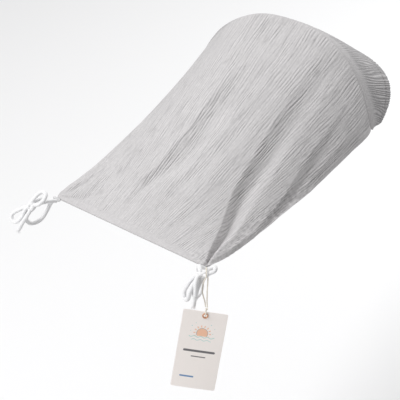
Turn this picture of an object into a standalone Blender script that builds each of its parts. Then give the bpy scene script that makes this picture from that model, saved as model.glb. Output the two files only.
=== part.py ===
"""Sun shade of crinkled muslin for a pram.

The shade spans from a hood bow to a handlebar. The origin is where the crown of
the seam lies on the hood bow. X runs across the pram, +Y towards the rear of the
hood and +Z up. All sizes are in metres and all angles in degrees.
"""
import math

import bmesh
import bpy
import numpy as np
from mathutils import Matrix, Vector

# Cloth and sewing
cloth = 0.0015
hem_fold = 0.0012
side_hem = 0.010
front_hem = 0.016
gap = 0.0003
thread_width = 0.0007
thread_height = 0.0004

# Seam arch over the hood bow
seam_width = 0.420
seam_rise = 0.170
seam_lean = 0.19
seam_shoulder = 0.77
seam_crest = 1.65

# Hood band, from the seam back to its elastic hem
hem_width = 0.430
hem_crest_back = 0.090
hem_crest_drop = 0.080
hem_end_back = -0.029
hem_end_drop = 0.176
hem_shoulder = 0.55
hem_back_crest = 0.45
hem_drop_crest = 0.70
band_bulge = 0.007
band_bulge_centre_drop = 0.280
band_end_share = 0.012
channel_length = 0.012
elastic_radius = 0.0015
elastic_clear = 0.0004

# Front corners of the shade and the handlebar that its ties go round
bar_radius = 0.019
bar_back = -0.600
bar_drop = 0.178
corner_half_span = 0.168
corner_lift = 0.010
left_corner_behind_bar = 0.047
right_corner_behind_bar = 0.035
left_sag = 0.010
right_sag = 0.034
sag_bias = 0.45

# Main folds: depths and half widths in metres at the front edge. Their places are shares
# of the shade's width, 0 on the left and 1 on the right, and of its length, 0 at the front.
corner_fold_depth = 0.013
corner_fold_width = 0.010
corner_fold_front = 0.995
corner_fold_back = 0.705
side_fold_depth = 0.007
side_fold_width = 0.010
side_fold_place = 0.90
side_fold_slant = 0.35
side_fold_middle = 0.55
side_fold_reach = 0.17
far_fold_depth = 0.005
far_fold_width = 0.0185
far_fold_front = 0.14
far_fold_slant = 0.50
folds_begin = 0.10
folds_fade = 0.45

# Tie cords and their knots
tie_diameter = 0.0068
tie_point_spacing = 0.0115
cord_end_clear = 0.0020
knot_radius = 0.0088
knot_flattening = 0.93
left_knot_out = 0.012
left_knot_angle = 57.0
right_knot_out = 0.0237
right_knot_angle = 68.5
right_knot_lift = 0.001791
tack_width = 0.016
tack_depth = 0.004
tack_height = 0.0065
tack_clear = 0.0007
tack_edge = 0.0008

# Hang tag
card_width = 0.079
card_length = 0.154
card_thickness = 0.0006
card_corner = 0.003
card_heading = 34.0
card_tilt = -14.0
card_lean = 9.0
eyelet_from_tie_knot = (0.0271, -0.0238, -0.0583)
upper_loop_direction = (0.63, 0.53, 0.56)
eyelet_below_edge = 0.008
bore_radius = 0.0028
barrel_wall = 0.0005
flange_width = 0.0022
flange_thickness = 0.0008
lip_width = 0.0011
lip_thickness = 0.0004
washer_width = 0.0020
washer_thickness = 0.0004
twine_diameter = 0.0020
twine_point_spacing = 0.0042
twine_knot_radius = 0.0029
twine_knot_above_card = 0.005
twine_ring_slack = 0.0021
twine_ring_from_knot = 0.0042

# Mesh counts, and the shares of the shade's width and length where its lines lie closer
finer_from = 0.62
finer_until = 0.40
left_cells = 12
right_cells = 13
near_cells = 9
far_cells = 9
band_rows = 7
channel_steps = 6
round_sides = 24
corner_steps = 4


def clear_scene():
    for thing in list(bpy.data.objects):
        bpy.data.objects.remove(thing)


def finish(name, colour, roughness, metallic=0.0):
    material = bpy.data.materials.new(name)
    material.use_nodes = True
    shader = material.node_tree.nodes["Principled BSDF"]
    shader.inputs["Base Color"].default_value = (*colour, 1.0)
    shader.inputs["Roughness"].default_value = roughness
    shader.inputs["Metallic"].default_value = metallic
    return material


def add_object(name, data, material, parent=None):
    """Link an object whose data is already in world axes, or in its parent's."""
    thing = bpy.data.objects.new(name, data)
    bpy.context.scene.collection.objects.link(thing)
    data.materials.append(material)
    thing.parent = parent
    return thing


def add_mesh(name, points, faces, material, parent=None):
    mesh = bpy.data.meshes.new(name)
    mesh.from_pydata([tuple(map(float, point)) for point in points], [], faces)
    mesh.update()
    return add_object(name, mesh, material, parent)


def unit(vectors):
    return vectors / np.linalg.norm(vectors, axis=-1, keepdims=True)


def arc_share(points):
    """Distance along a line of points, as a share of its whole length."""
    steps = np.linalg.norm(np.diff(points, axis=0), axis=1)
    along = np.concatenate([[0.0], np.cumsum(steps)])
    return along / along[-1], along[-1]


def resample(points, shares):
    along, _ = arc_share(points)
    return np.stack([np.interp(shares, along, points[:, axis]) for axis in range(3)], -1)


def seam_line(shares):
    """The seam arch from its left foot to its right one, by arc length."""
    angle = np.linspace(math.pi, 0.0, 721)
    across = np.cos(angle)
    height = seam_rise * (np.sin(angle).clip(0.0) ** seam_crest - 1.0)
    x = seam_width / 2 * np.sign(across) * np.abs(across) ** seam_shoulder
    return resample(np.stack([x, seam_lean * height, height], -1), shares)


def hem_line(shares):
    """The band's hem: a lower and wider arch behind the seam."""
    angle = np.linspace(math.pi, 0.0, 721)
    across = np.cos(angle)
    rise = np.sin(angle).clip(0.0)
    x = hem_width / 2 * np.sign(across) * np.abs(across) ** hem_shoulder
    y = hem_end_back + (hem_crest_back - hem_end_back) * rise ** hem_back_crest
    z = -hem_end_drop + (hem_end_drop - hem_crest_drop) * rise ** hem_drop_crest
    return resample(np.stack([x, y, z], -1), shares)


def front_line(shares):
    """The front edge, straight between the two tied corners."""
    height = corner_lift - bar_drop
    left = np.array([-corner_half_span, bar_back + left_corner_behind_bar, height])
    right = np.array([corner_half_span, bar_back + right_corner_behind_bar, height])
    return left + (right - left) * shares[:, None]


def valley(across, centre, width, depth):
    """A fold: a rounded valley whose sides fall off as a bell curve."""
    return -depth * np.exp(-((across - centre) / width) ** 2)


def fold_depths(across, along):
    """Main folds over the shade: across is 0 to 1 leftwards to rightwards, along 0 to 1 backwards."""
    span = 2 * corner_half_span
    rise = np.clip(along / folds_begin, 0.0, 1.0)
    fade = np.clip((1.0 - along) / folds_fade, 0.0, 1.0)
    corner_place = corner_fold_back + (corner_fold_front - corner_fold_back) * (1.0 - along) ** 3
    corner = valley(across, corner_place, corner_fold_width / span * (1.0 + along), corner_fold_depth)
    side_place = side_fold_place - side_fold_slant * (along - side_fold_middle)
    side_share = np.exp(-((along - side_fold_middle) / side_fold_reach) ** 2)
    side = valley(across, side_place, side_fold_width / span, side_fold_depth) * side_share
    far = valley(across, far_fold_front + far_fold_slant * along, far_fold_width / span, far_fold_depth)
    return (corner + far) * fade * rise + side


def shade_surface(across, along):
    """Upper face of the shade: straight threads from front edge to seam, sagging, with its folds."""
    front = front_line(across)[:, None, :]
    seam = seam_line(across)[:, None, :]
    share = along[None, :, None]
    flat = front * (1.0 - share) + seam * share
    sag = left_sag + (right_sag - left_sag) * across[:, None, None] ** 2
    shape = 4.0 * share * (1.0 - share) * (1.0 - sag_bias * (2.0 * share - 1.0))
    smooth = flat - np.array([0.0, 0.0, 1.0]) * sag * shape
    folds = fold_depths(across[:, None], along[None, :])
    return smooth + grid_normals(smooth) * folds[..., None]


def grid_normals(grid):
    """Normals of a grid of points, pointing out of the side that shows."""
    return unit(np.cross(np.gradient(grid, axis=0), np.gradient(grid, axis=1)))


def solid_from_grid(name, top, under, material):
    """Close two matching grids into one solid: top faces, under faces and the rim."""
    rows, columns = top.shape[:2]
    index = np.arange(rows * columns).reshape(rows, columns)
    below = index + rows * columns
    corners = (index[:-1, :-1], index[1:, :-1], index[1:, 1:], index[:-1, 1:])
    faces = [list(face) for face in np.stack(corners, -1).reshape(-1, 4).tolist()]
    faces += [[face[3] + rows * columns, face[2] + rows * columns, face[1] + rows * columns,
               face[0] + rows * columns] for face in faces]
    rim = np.concatenate([index[:, 0], index[-1, 1:], index[-2::-1, -1], index[0, -2:0:-1]])
    rim_below = np.concatenate([below[:, 0], below[-1, 1:], below[-2::-1, -1], below[0, -2:0:-1]])
    for here in range(len(rim)):
        after = (here + 1) % len(rim)
        faces.append([int(rim[after]), int(rim[here]), int(rim_below[here]), int(rim_below[after])])
    points = np.concatenate([top.reshape(-1, 3), under.reshape(-1, 3)])
    return add_mesh(name, points, faces, material)


def solid_from_sections(name, sections, material, parent=None):
    """Sweep one closed section after another: sections is stations by points by 3."""
    stations, count = sections.shape[:2]
    faces = []
    for station in range(stations - 1):
        for point in range(count):
            near = station * count
            far = near + count
            after = (point + 1) % count
            faces.append([near + point, far + point, far + after, near + after])
    faces.append(list(range(count)))
    faces.append([(stations - 1) * count + point for point in reversed(range(count))])
    return add_mesh(name, sections.reshape(-1, 3), faces, material, parent)


def thread(name, points, normals, material):
    """A seam's thread: a narrow strip that lies just above a line of the cloth."""
    along = unit(np.gradient(points, axis=0))
    side = unit(np.cross(along, normals)) * thread_width / 2
    low = points + normals * gap
    high = low + normals * thread_height
    sections = np.stack([low - side, low + side, high + side, high - side], 1)
    return solid_from_sections(name, sections, material)


def shade_lines():
    """Grid lines of the shade: its hems' inner edges are lines too."""
    hem_share = side_hem / (2 * corner_half_span)
    across = np.concatenate([
        [0.0],
        np.linspace(hem_share, finer_from, left_cells, endpoint=False),
        np.linspace(finer_from, 1.0 - hem_share, right_cells),
        [1.0],
    ])
    length = math.hypot(bar_back + left_corner_behind_bar, bar_drop)
    along = np.concatenate([
        [0.0],
        np.linspace(front_hem / length, finer_until, near_cells, endpoint=False),
        np.linspace(finer_until, 1.0, far_cells),
    ])
    return across, along


def mitre(own_normals, other_normals):
    """Under-face directions at a seam, so that both cloths end on one slanting face."""
    middle = unit(own_normals + other_normals)
    return middle / np.sum(middle * own_normals, axis=-1, keepdims=True)


def band_shares(across):
    """The band's stations: the shade's own lines, with its pinched ends left off."""
    return np.concatenate([[band_end_share], across[1:-1], [1.0 - band_end_share]])


def build_shade(muslin, cotton):
    across, along = shade_lines()
    top = shade_surface(across, along)
    normals = grid_normals(top)
    thickness = np.full(top.shape[:2], cloth)
    thickness[:2] += hem_fold
    thickness[-2:] += hem_fold
    thickness[:, :2] = cloth + hem_fold
    under = top - normals * thickness[..., None]
    under[:, 0] = top[:, 0] - np.array([0.0, 0.0, cloth + hem_fold])
    band = grid_normals(band_surface(band_shares(across), np.linspace(0.0, 1.0, band_rows)))
    slant = mitre(normals[:, -1], band[:, 0])
    under[:, -1] = top[:, -1] - slant * cloth
    solid_from_grid("shade_panel", top, under, muslin)
    thread("front_hem_thread", top[1:-1, 1], normals[1:-1, 1], cotton)
    thread("left_hem_thread", top[1, 2:-1], normals[1, 2:-1], cotton)
    thread("right_hem_thread", top[-2, 2:-1], normals[-2, 2:-1], cotton)


def band_surface(shares, steps):
    """Outer face of the hood band, bowed outwards between its seam and its hem."""
    seam = seam_line(shares)[:, None, :]
    hem = hem_line(shares)[:, None, :]
    share = steps[None, :, None]
    centre = np.array([0.0, 0.0, -band_bulge_centre_drop])
    outward = unit(hem_line(shares) * np.array([1.0, 0.0, 1.0]) - centre)
    bow = 4.0 * share * (1.0 - share) * band_bulge * np.sin(math.pi * shares)[:, None, None]
    start = unit(hem - seam) * gap
    return seam + start + (hem - seam - start) * share + outward[:, None, :] * bow


def build_band(muslin, cotton, rubber):
    """The hood band with its hem turned under into a channel round the elastic."""
    across, along = shade_lines()
    shares = band_shares(across)
    widths = np.linalg.norm(hem_line(shares) - seam_line(shares), axis=1)
    outer = band_surface(shares, np.linspace(0.0, 1.0, band_rows))
    normals = grid_normals(outer)
    inner = outer - normals * cloth
    shade_normals = grid_normals(shade_surface(shares, along))[:, -1]
    inner[:, 0] = outer[:, 0] - mitre(normals[:, 0], shade_normals) * cloth
    edge = outer[:, -1]
    edge_normal = normals[:, -1]
    edge_along = unit(outer[:, -1] - outer[:, -2])
    channel_bore = elastic_radius + elastic_clear
    outer_bend = channel_bore + cloth
    centre = edge - edge_normal * outer_bend
    turns = np.linspace(math.pi / 2, -math.pi / 2, channel_steps)

    def bend(radius):
        return np.stack([
            centre + radius * (math.cos(turn) * edge_along + math.sin(turn) * edge_normal) for turn in turns
        ], 1)

    turned = np.minimum(channel_length, 0.5 * widths)[:, None]
    flap_back = edge - edge_along * turned
    flap_under = flap_back - edge_normal * (2 * cloth + gap)
    flap_over = flap_back - edge_normal * (cloth + gap)
    sections = np.concatenate([
        outer[:, :-1],
        bend(outer_bend),
        flap_under[:, None],
        flap_over[:, None],
        bend(channel_bore)[:, ::-1],
        inner[:, -2::-1],
    ], 1)
    solid_from_sections("hood_band", sections, muslin)
    corners = np.arange(6) * math.pi / 3
    ring = [centre + elastic_radius * (math.cos(c) * edge_along - math.sin(c) * edge_normal) for c in corners]
    solid_from_sections("hem_elastic", np.stack(ring, 1), rubber)
    row = band_rows - 2
    thread("band_hem_thread", outer[2:-2, row], normals[2:-2, row], cotton)
    thread("band_seam_thread", outer[2:-2, 1], normals[2:-2, 1], cotton)


def smooth_route(points, spacing):
    """Even points along a Catmull-Rom curve through a route's own points."""
    route = np.array(points)
    ends = np.concatenate([[2 * route[0] - route[1]], route, [2 * route[-1] - route[-2]]])
    share = np.linspace(0.0, 1.0, 16, endpoint=False)[:, None]
    pieces = []
    for before, start, stop, after in zip(ends, ends[1:], ends[2:], ends[3:]):
        bend = 2 * start + (stop - before) * share
        bend += (2 * before - 5 * start + 4 * stop - after) * share ** 2
        bend += (3 * start - before - 3 * stop + after) * share ** 3
        pieces.append(bend / 2)
    fine = np.concatenate(pieces + [route[-1:]])
    _, length = arc_share(fine)
    count = max(3, round(length / spacing) + 1)
    return resample(fine, np.linspace(0.0, 1.0, count))


def tube(name, points, diameter, spacing, material, parent=None, origin=(0.0, 0.0, 0.0)):
    """A cord or twine: a round tube along the smooth curve of a route."""
    path = smooth_route(points, spacing) - np.array(origin)
    curve = bpy.data.curves.new(name, "CURVE")
    curve.dimensions = "3D"
    curve.bevel_depth = diameter / 2
    curve.bevel_resolution = 2
    curve.use_fill_caps = True
    spline = curve.splines.new("POLY")
    spline.points.add(len(path) - 1)
    for target, source in zip(spline.points, path):
        target.co = (*map(float, source), 1.0)
    return add_object(name, curve, material, parent)


def ball(name, centre, radius, flattening, material, parent=None):
    """A drawn-up knot, as a slightly flattened ball."""
    mesh = bpy.data.meshes.new(name)
    shape = bmesh.new()
    bmesh.ops.create_uvsphere(shape, u_segments=16, v_segments=10, radius=radius)
    bmesh.ops.scale(shape, vec=(1.0, flattening, flattening), verts=shape.verts)
    bmesh.ops.translate(shape, vec=centre, verts=shape.verts)
    shape.to_mesh(mesh)
    shape.free()
    return add_object(name, mesh, material, parent)


def tack_middle(corner):
    """A tack lies in front of its corner, with a quarter of its height over the edge's upper face."""
    return corner - np.array([0.0, tack_depth / 2 + tack_clear, tack_height / 4])


def tack(name, corner, material):
    """The dense sewn block that holds a tie to its corner, just in front of the edge."""
    mesh = bpy.data.meshes.new(name)
    block = bmesh.new()
    bmesh.ops.create_cube(block, size=1.0)
    bmesh.ops.scale(block, vec=(tack_width, tack_depth, tack_height), verts=block.verts)
    bmesh.ops.bevel(block, geom=block.edges[:], offset=tack_edge, segments=2, affect="EDGES")
    bmesh.ops.translate(block, vec=tack_middle(corner), verts=block.verts)
    block.to_mesh(mesh)
    block.free()
    return add_object(name, mesh, material)


def bar_point(out, angle, height):
    """A point by the handlebar: its X, its angle up from the front and its height over the bar."""
    reach = bar_radius + height
    turn = math.radians(angle)
    return np.array([out, bar_back - reach * math.cos(turn), reach * math.sin(turn) - bar_drop])


def tack_front(corner, side_step):
    """Where a strand of a tie leaves the front of its tack, a step to the left or right."""
    return tack_middle(corner) + np.array([side_step, -tack_depth / 2 - cord_end_clear, 0.0])


def tack_under(corner, side_step):
    """Where a strand of a tie leaves the underside of its tack, a step to the left or right."""
    return tack_middle(corner) + np.array([side_step, 0.0, -tack_height / 2 - cord_end_clear])


def from_knot(knot, directions):
    """Where strands leave a knot: one point for each direction, clear of its surface."""
    reach = knot_radius + cord_end_clear
    return [knot + unit(np.array(direction)) * reach for direction in directions]


def around_bar(corner_x, turns):
    """The stretch under the bar: steps in X from the corner, angles, and heights over the bar."""
    return [bar_point(corner_x + step, angle, tie_diameter / 2 + height) for step, angle, height in turns]


def near_knot(knot, steps):
    return [knot + np.array(step) for step in steps]


def left_tie_routes(corner, knot):
    """Routes of the left tie's stretches, from the corner or the knot outwards."""
    over, under, upper_out, upper_in, lower_out, lower_in, long_out, short_out = from_knot(knot, [
        (0.47, 0.87, 0.12), (-0.32, -0.30, -0.90), (-0.12, 0.54, 0.84), (0.80, 0.33, 0.51),
        (-0.93, 0.10, -0.35), (-0.60, -0.75, -0.28), (0.20, -0.80, -0.57), (-0.30, 0.93, 0.20)])
    return {
        "left_tie_over": [
            tack_front(corner, 0.0040),
            *near_knot(knot, [
                (0.0135, 0.0425, -0.0080), (0.0110, 0.0280, -0.0020), (0.0078, 0.0145, 0.0020)]),
            over],
        "left_tie_under": [
            tack_front(corner, -0.0040),
            *around_bar(corner[0], [
                (-0.0050, 174, 0.0085), (-0.0075, 197, 0.0025), (-0.0105, 237, 0.0008),
                (-0.0140, 272, 0.0010), (-0.0175, 307, 0.0012), (-0.0190, 343, 0.0010),
                (-0.0175, 371, 0.0012)]),
            under],
        "left_tie_upper_loop": [
            upper_out,
            *near_knot(knot, [
                (0.0010, 0.0105, 0.0145), (0.0065, 0.0180, 0.0225), (0.0135, 0.0220, 0.0255),
                (0.0210, 0.0195, 0.0235), (0.0210, 0.0120, 0.0165), (0.0145, 0.0045, 0.0085)]),
            upper_in],
        "left_tie_lower_loop": [
            lower_out,
            *near_knot(knot, [
                (-0.0220, -0.0040, -0.0120), (-0.0342, -0.0107, -0.0215), (-0.0375, -0.0145, -0.0305),
                (-0.0310, -0.0170, -0.0370), (-0.0215, -0.0170, -0.0325), (-0.0120, -0.0130, -0.0190)]),
            lower_in],
        "left_tie_long_tail": [
            long_out,
            *near_knot(knot, [
                (0.0005, -0.0155, -0.0125), (-0.0070, -0.0200, -0.0285), (-0.0164, -0.0220, -0.0481)])],
        "left_tie_short_tail": [
            short_out, *near_knot(knot, [(-0.0015, 0.0215, 0.0025), (0.0015, 0.0355, -0.0040)])],
    }


def right_tie_routes(corner, knot):
    """Routes of the right tie's stretches, from the corner or the knot outwards."""
    over, under, upper_out, upper_in, lower_out, lower_in, long_out, short_out = from_knot(knot, [
        (-0.54, 0.81, 0.24), (0.14, -0.20, -0.97), (0.32, 0.68, 0.62), (0.84, 0.29, 0.43),
        (-0.95, -0.25, -0.20), (-0.40, -0.75, -0.53), (0.40, -0.76, -0.51), (0.05, -0.88, 0.47)])
    return {
        "right_tie_over": [
            tack_front(corner, -0.0040),
            *near_knot(knot, [
                (-0.0240, 0.0300, -0.0160), (-0.0210, 0.0255, -0.0045), (-0.0155, 0.0205, 0.0025),
                (-0.0087, 0.0128, 0.0041)]),
            over],
        "right_tie_under": [
            tack_under(corner, 0.0040),
            *around_bar(corner[0], [
                (0.0050, 203, 0.0034), (0.0085, 222, 0.0016), (0.0125, 244, 0.0010), (0.0155, 280, 0.0015),
                (0.0172, 315, 0.0015), (0.0188, 352, 0.0003), (0.0214, 384, 0.0003)]),
            under],
        "right_tie_upper_loop": [
            upper_out,
            *near_knot(knot, [
                (0.0081, 0.0108, 0.0100), (0.0110, 0.0144, 0.0134), (0.0140, 0.0177, 0.0165),
                (0.0171, 0.0186, 0.0181), (0.0204, 0.0172, 0.0182), (0.0220, 0.0143, 0.0167),
                (0.0209, 0.0117, 0.0145), (0.0170, 0.0092, 0.0116), (0.0127, 0.0068, 0.0086)]),
            upper_in],
        "right_tie_lower_loop": [
            lower_out,
            *near_knot(knot, [
                (-0.0168, -0.0082, -0.0140), (-0.0215, -0.0155, -0.0280), (-0.0209, -0.0182, -0.0376),
                (-0.0198, -0.0196, -0.0415), (-0.0162, -0.0212, -0.0432), (-0.0123, -0.0221, -0.0418),
                (-0.0103, -0.0218, -0.0380), (-0.0086, -0.0202, -0.0290), (-0.0068, -0.0184, -0.0190)]),
            lower_in],
        "right_tie_long_tail": [
            long_out,
            *near_knot(knot, [
                (0.0048, -0.0167, -0.0154), (0.0033, -0.0217, -0.0344), (0.0019, -0.0231, -0.0513)])],
        "right_tie_short_tail": [
            short_out,
            *near_knot(knot, [
                (0.0038, -0.0190, 0.0015), (0.0074, -0.0250, -0.0090), (0.0088, -0.0272, -0.0215)])],
    }


def knot_places():
    """The two knots: beside their corners, on the upper front of the bar."""
    on_bar = knot_radius * knot_flattening + gap
    left = bar_point(-corner_half_span - left_knot_out, left_knot_angle, on_bar)
    right = bar_point(corner_half_span + right_knot_out, right_knot_angle, on_bar + right_knot_lift)
    return left, right


def build_ties(cotton):
    left_corner, right_corner = front_line(np.array([0.0, 1.0]))
    left_knot, right_knot = knot_places()
    left_routes = left_tie_routes(left_corner, left_knot)
    right_routes = right_tie_routes(right_corner, right_knot)
    tack("left_tie_tack", left_corner, cotton)
    tack("right_tie_tack", right_corner, cotton)
    ball("left_tie_knot", left_knot, knot_radius, knot_flattening, cotton)
    ball("right_tie_knot", right_knot, knot_radius, knot_flattening, cotton)
    for name, points in (left_routes | right_routes).items():
        tube(name, points, tie_diameter, tie_point_spacing, cotton)


def tag_turn():
    """The card's turn from upright and facing -Y to where it hangs."""
    heading = Matrix.Rotation(math.radians(card_heading), 4, "Z")
    tilt = Matrix.Rotation(math.radians(card_tilt), 4, "X")
    lean = Matrix.Rotation(math.radians(card_lean), 4, "Y")
    return heading @ tilt @ lean


def joint_empty(name, place, parent=None):
    empty = bpy.data.objects.new(name, None)
    bpy.context.scene.collection.objects.link(empty)
    empty.empty_display_size = 0.02
    empty.parent = parent
    base = parent.location if parent else Vector()
    if parent and parent.parent:
        base = base + parent.parent.location
    empty.location = Vector(place) - base
    return empty


def turned_ring(name, profile, material, parent):
    """A ring turned about the card's Y axis from a closed profile of radius and depth."""
    count = len(profile)
    angles = np.arange(round_sides) * 2 * math.pi / round_sides
    points = [(r * math.cos(a), y, r * math.sin(a)) for a in angles for r, y in profile]
    faces = []
    for side in range(round_sides):
        near = side * count
        far = (side + 1) % round_sides * count
        for point in range(count):
            after = (point + 1) % count
            faces.append([near + point, near + after, far + after, far + point])
    return add_mesh(name, points, faces, material, parent)


def build_card(paper, parent):
    """The card: a plate with rounded corners, cut for the eyelet's barrel."""
    plate = bmesh.new()
    middle = eyelet_below_edge - card_length / 2
    outline = []
    for side_x, side_z, first in ((1, 1, 0), (-1, 1, 90), (-1, -1, 180), (1, -1, 270)):
        for step in range(corner_steps + 1):
            angle = math.radians(first + step * 90 / corner_steps)
            x = side_x * (card_width / 2 - card_corner) + card_corner * math.cos(angle)
            z = middle + side_z * (card_length / 2 - card_corner) + card_corner * math.sin(angle)
            outline.append(plate.verts.new((x, -card_thickness / 2, z)))
    face = plate.faces.new(outline)
    lifted = bmesh.ops.extrude_face_region(plate, geom=[face])
    moved = [item for item in lifted["geom"] if isinstance(item, bmesh.types.BMVert)]
    bmesh.ops.translate(plate, vec=(0.0, card_thickness, 0.0), verts=moved)
    bmesh.ops.recalc_face_normals(plate, faces=plate.faces)
    mesh = bpy.data.meshes.new("tag_card")
    plate.to_mesh(mesh)
    plate.free()
    card = add_object("tag_card", mesh, paper, parent)
    cut = card.modifiers.new("eyelet_hole", "BOOLEAN")
    cut.operation = "DIFFERENCE"
    cut.solver = "EXACT"
    cut.object = card_punch(paper, parent)


def card_punch(material, parent):
    """The cutter for the card's hole, which clears the eyelet's barrel."""
    punch = bmesh.new()
    hole = bore_radius + barrel_wall + gap
    across_card = Matrix.Rotation(math.pi / 2, 4, "X")
    bmesh.ops.create_cone(punch, cap_ends=True, segments=round_sides, radius1=hole, radius2=hole,
                          depth=4 * card_thickness, matrix=across_card)
    mesh = bpy.data.meshes.new("tag_punch")
    punch.to_mesh(mesh)
    punch.free()
    cutter = add_object("tag_punch", mesh, material, parent)
    cutter.hide_render = True
    cutter.display_type = "WIRE"
    return cutter


def build_eyelet(copper, parent):
    """The eyelet, its barrel through the card, and the washer behind the card."""
    face = card_thickness / 2 + gap
    barrel = bore_radius + barrel_wall
    flange = barrel + flange_width
    front = -face - flange_thickness
    washer_back = face + washer_thickness
    lip_front = washer_back + gap
    back = lip_front + lip_thickness
    turned_ring("tag_eyelet", [
        (bore_radius, back), (bore_radius, front + flange_thickness / 2), (barrel, front),
        (flange - flange_thickness / 2, front), (flange, -face - flange_thickness / 2), (flange, -face),
        (barrel, -face), (barrel, lip_front), (barrel + lip_width, lip_front), (barrel + lip_width, back),
    ], copper, parent)
    turned_ring("tag_washer", [
        (barrel + gap, washer_back), (barrel + gap, face), (barrel + washer_width, face),
        (barrel + washer_width, washer_back),
    ], copper, parent)
    return front, back


def card_point(eyelet, place):
    """World place of a point in the card's own frame, whose origin is the eyelet's centre."""
    return np.array(Vector(eyelet) + tag_turn().to_3x3() @ Vector(place))


def twine_route(tie_knot, ring, knot):
    """The twine's loop: up in front of the tie's bow, over its upper loop and down behind."""
    heading = math.radians(card_heading)
    forward = np.array([math.sin(heading), -math.cos(heading), 0.0])
    upward = np.array([0.0, 0.0, 1.0])
    radius = tie_diameter + twine_diameter / 2 + twine_ring_slack
    arc = []
    for angle in range(0, 181, 30):
        turn = math.radians(angle)
        arc.append(ring + radius * (math.cos(turn) * forward + math.sin(turn) * upward))
    clear = twine_knot_radius + 3 * gap
    front_leg = [
        knot + unit(np.array([-0.55, 0.10, 0.83])) * clear,
        *near_knot(tie_knot, [
            (0.0198, -0.0147, -0.0359), (0.0151, -0.0127, -0.0264), (0.0118, -0.0107, -0.0159),
            (0.0113, -0.0057, -0.0024)])]
    back_leg = [
        *near_knot(tie_knot, [
            (0.0083, 0.0118, -0.0029), (0.0143, 0.0028, -0.0084), (0.0188, -0.0057, -0.0139),
            (0.0218, -0.0107, -0.0234), (0.0243, -0.0147, -0.0344)]),
        knot + unit(np.array([0.30, 0.20, 0.93])) * clear]
    return front_leg + arc + back_leg


def eye_route(eyelet, front, back):
    """The twine's eye: from its knot down through the eyelet and up again behind the card."""
    reach = twine_diameter / 2 + 2 * gap
    low = bore_radius - twine_diameter / 2 - 6 * gap
    neck = eyelet_below_edge + twine_knot_above_card - 1.5 * twine_diameter
    shoulder = bore_radius + barrel_wall + flange_width / 3
    route = [
        (0.0, -twine_diameter, neck), (0.0, front - reach, eyelet_below_edge), (0.0, front - reach, shoulder),
        (0.0, front, low + 2 * gap), (0.0, 0.0, low), (0.0, back, low + 2 * gap),
        (0.0, back + reach, shoulder), (0.0, back + reach, eyelet_below_edge), (0.0, twine_diameter, neck)]
    return [card_point(eyelet, place) for place in route]


def build_tag(paper, copper, string):
    _, tie_knot = knot_places()
    eyelet = tie_knot + np.array(eyelet_from_tie_knot)
    knot = card_point(eyelet, (0.0, 0.0, eyelet_below_edge + twine_knot_above_card))
    ring = tie_knot + unit(np.array(upper_loop_direction)) * (knot_radius + twine_ring_from_knot)
    swing = joint_empty("tag_swing_axis", ring)
    twist = joint_empty("tag_twist_axis", knot, swing)
    pivot = joint_empty("tag_turn_axis", eyelet, twist)
    pivot.rotation_euler = tag_turn().to_euler()
    front, back = build_eyelet(copper, pivot)
    build_card(paper, pivot)
    twine = twine_route(tie_knot, ring, knot)
    tube("tag_twine", twine, twine_diameter, twine_point_spacing, string, swing, ring)
    ball("tag_twine_knot", (0.0, 0.0, 0.0), twine_knot_radius, 1.0, string, twist)
    eye = eye_route(eyelet, front, back)
    tube("tag_twine_eye", eye, twine_diameter, twine_point_spacing / 2, string, twist, knot)


def main():
    clear_scene()
    muslin = finish("muslin", (0.62, 0.62, 0.63), 0.95)
    cotton = finish("cotton", (0.88, 0.88, 0.88), 0.90)
    rubber = finish("rubber", (0.80, 0.80, 0.78), 0.80)
    paper = finish("paper", (0.84, 0.81, 0.74), 0.75)
    copper = finish("copper", (0.72, 0.42, 0.27), 0.30, 1.0)
    string = finish("string", (0.80, 0.74, 0.64), 0.90)
    build_shade(muslin, cotton)
    build_band(muslin, cotton, rubber)
    build_ties(cotton)
    build_tag(paper, copper, string)


main()
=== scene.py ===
import math

import bpy
import numpy as np
from mathutils import Matrix


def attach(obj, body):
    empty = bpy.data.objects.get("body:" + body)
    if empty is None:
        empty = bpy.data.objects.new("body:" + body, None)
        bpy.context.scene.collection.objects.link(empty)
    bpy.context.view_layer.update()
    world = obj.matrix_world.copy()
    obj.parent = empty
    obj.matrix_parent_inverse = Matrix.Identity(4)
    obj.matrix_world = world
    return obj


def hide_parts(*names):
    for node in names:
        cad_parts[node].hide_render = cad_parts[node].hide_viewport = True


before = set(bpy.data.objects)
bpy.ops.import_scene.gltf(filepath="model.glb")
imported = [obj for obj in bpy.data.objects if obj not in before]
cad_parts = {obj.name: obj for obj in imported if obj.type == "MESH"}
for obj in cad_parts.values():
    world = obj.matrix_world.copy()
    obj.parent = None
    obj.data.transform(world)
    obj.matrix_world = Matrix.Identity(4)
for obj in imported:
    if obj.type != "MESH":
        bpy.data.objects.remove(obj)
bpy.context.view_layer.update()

# The camera, fitted to the photo's seam, hem and corners
cameraView = {"place": (1.3074, -2.265, 1.5424), "turn": (52.6, 0.0, 34.0), "lens": 136.08, "sensor": 36.0}


def setCamera():
    # the eye's place in metres and its turn in degrees
    data = bpy.data.cameras.new("camera")
    data.lens = cameraView["lens"]
    data.sensor_width = cameraView["sensor"]
    eye = bpy.data.objects.new("camera", data)
    eye.location = cameraView["place"]
    eye.rotation_euler = [math.radians(angle) for angle in cameraView["turn"]]
    bpy.context.scene.collection.objects.link(eye)
    bpy.context.scene.camera = eye


setCamera()
print("camera set")


# Small helpers for points and meshes

def unitRows(vectors):
    # each vector divided by its length
    return vectors / np.linalg.norm(vectors, axis=-1, keepdims=True)


def runLength(points):
    # distance along a line of points from its start
    steps = np.linalg.norm(np.diff(points, axis=0), axis=1)
    return np.concatenate([[0.0], np.cumsum(steps)])


def resampled(points, shares):
    # points at shares of a line's whole length
    along = runLength(points)
    return np.stack([np.interp(shares, along / along[-1], points[:, axis]) for axis in range(3)], -1)


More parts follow.
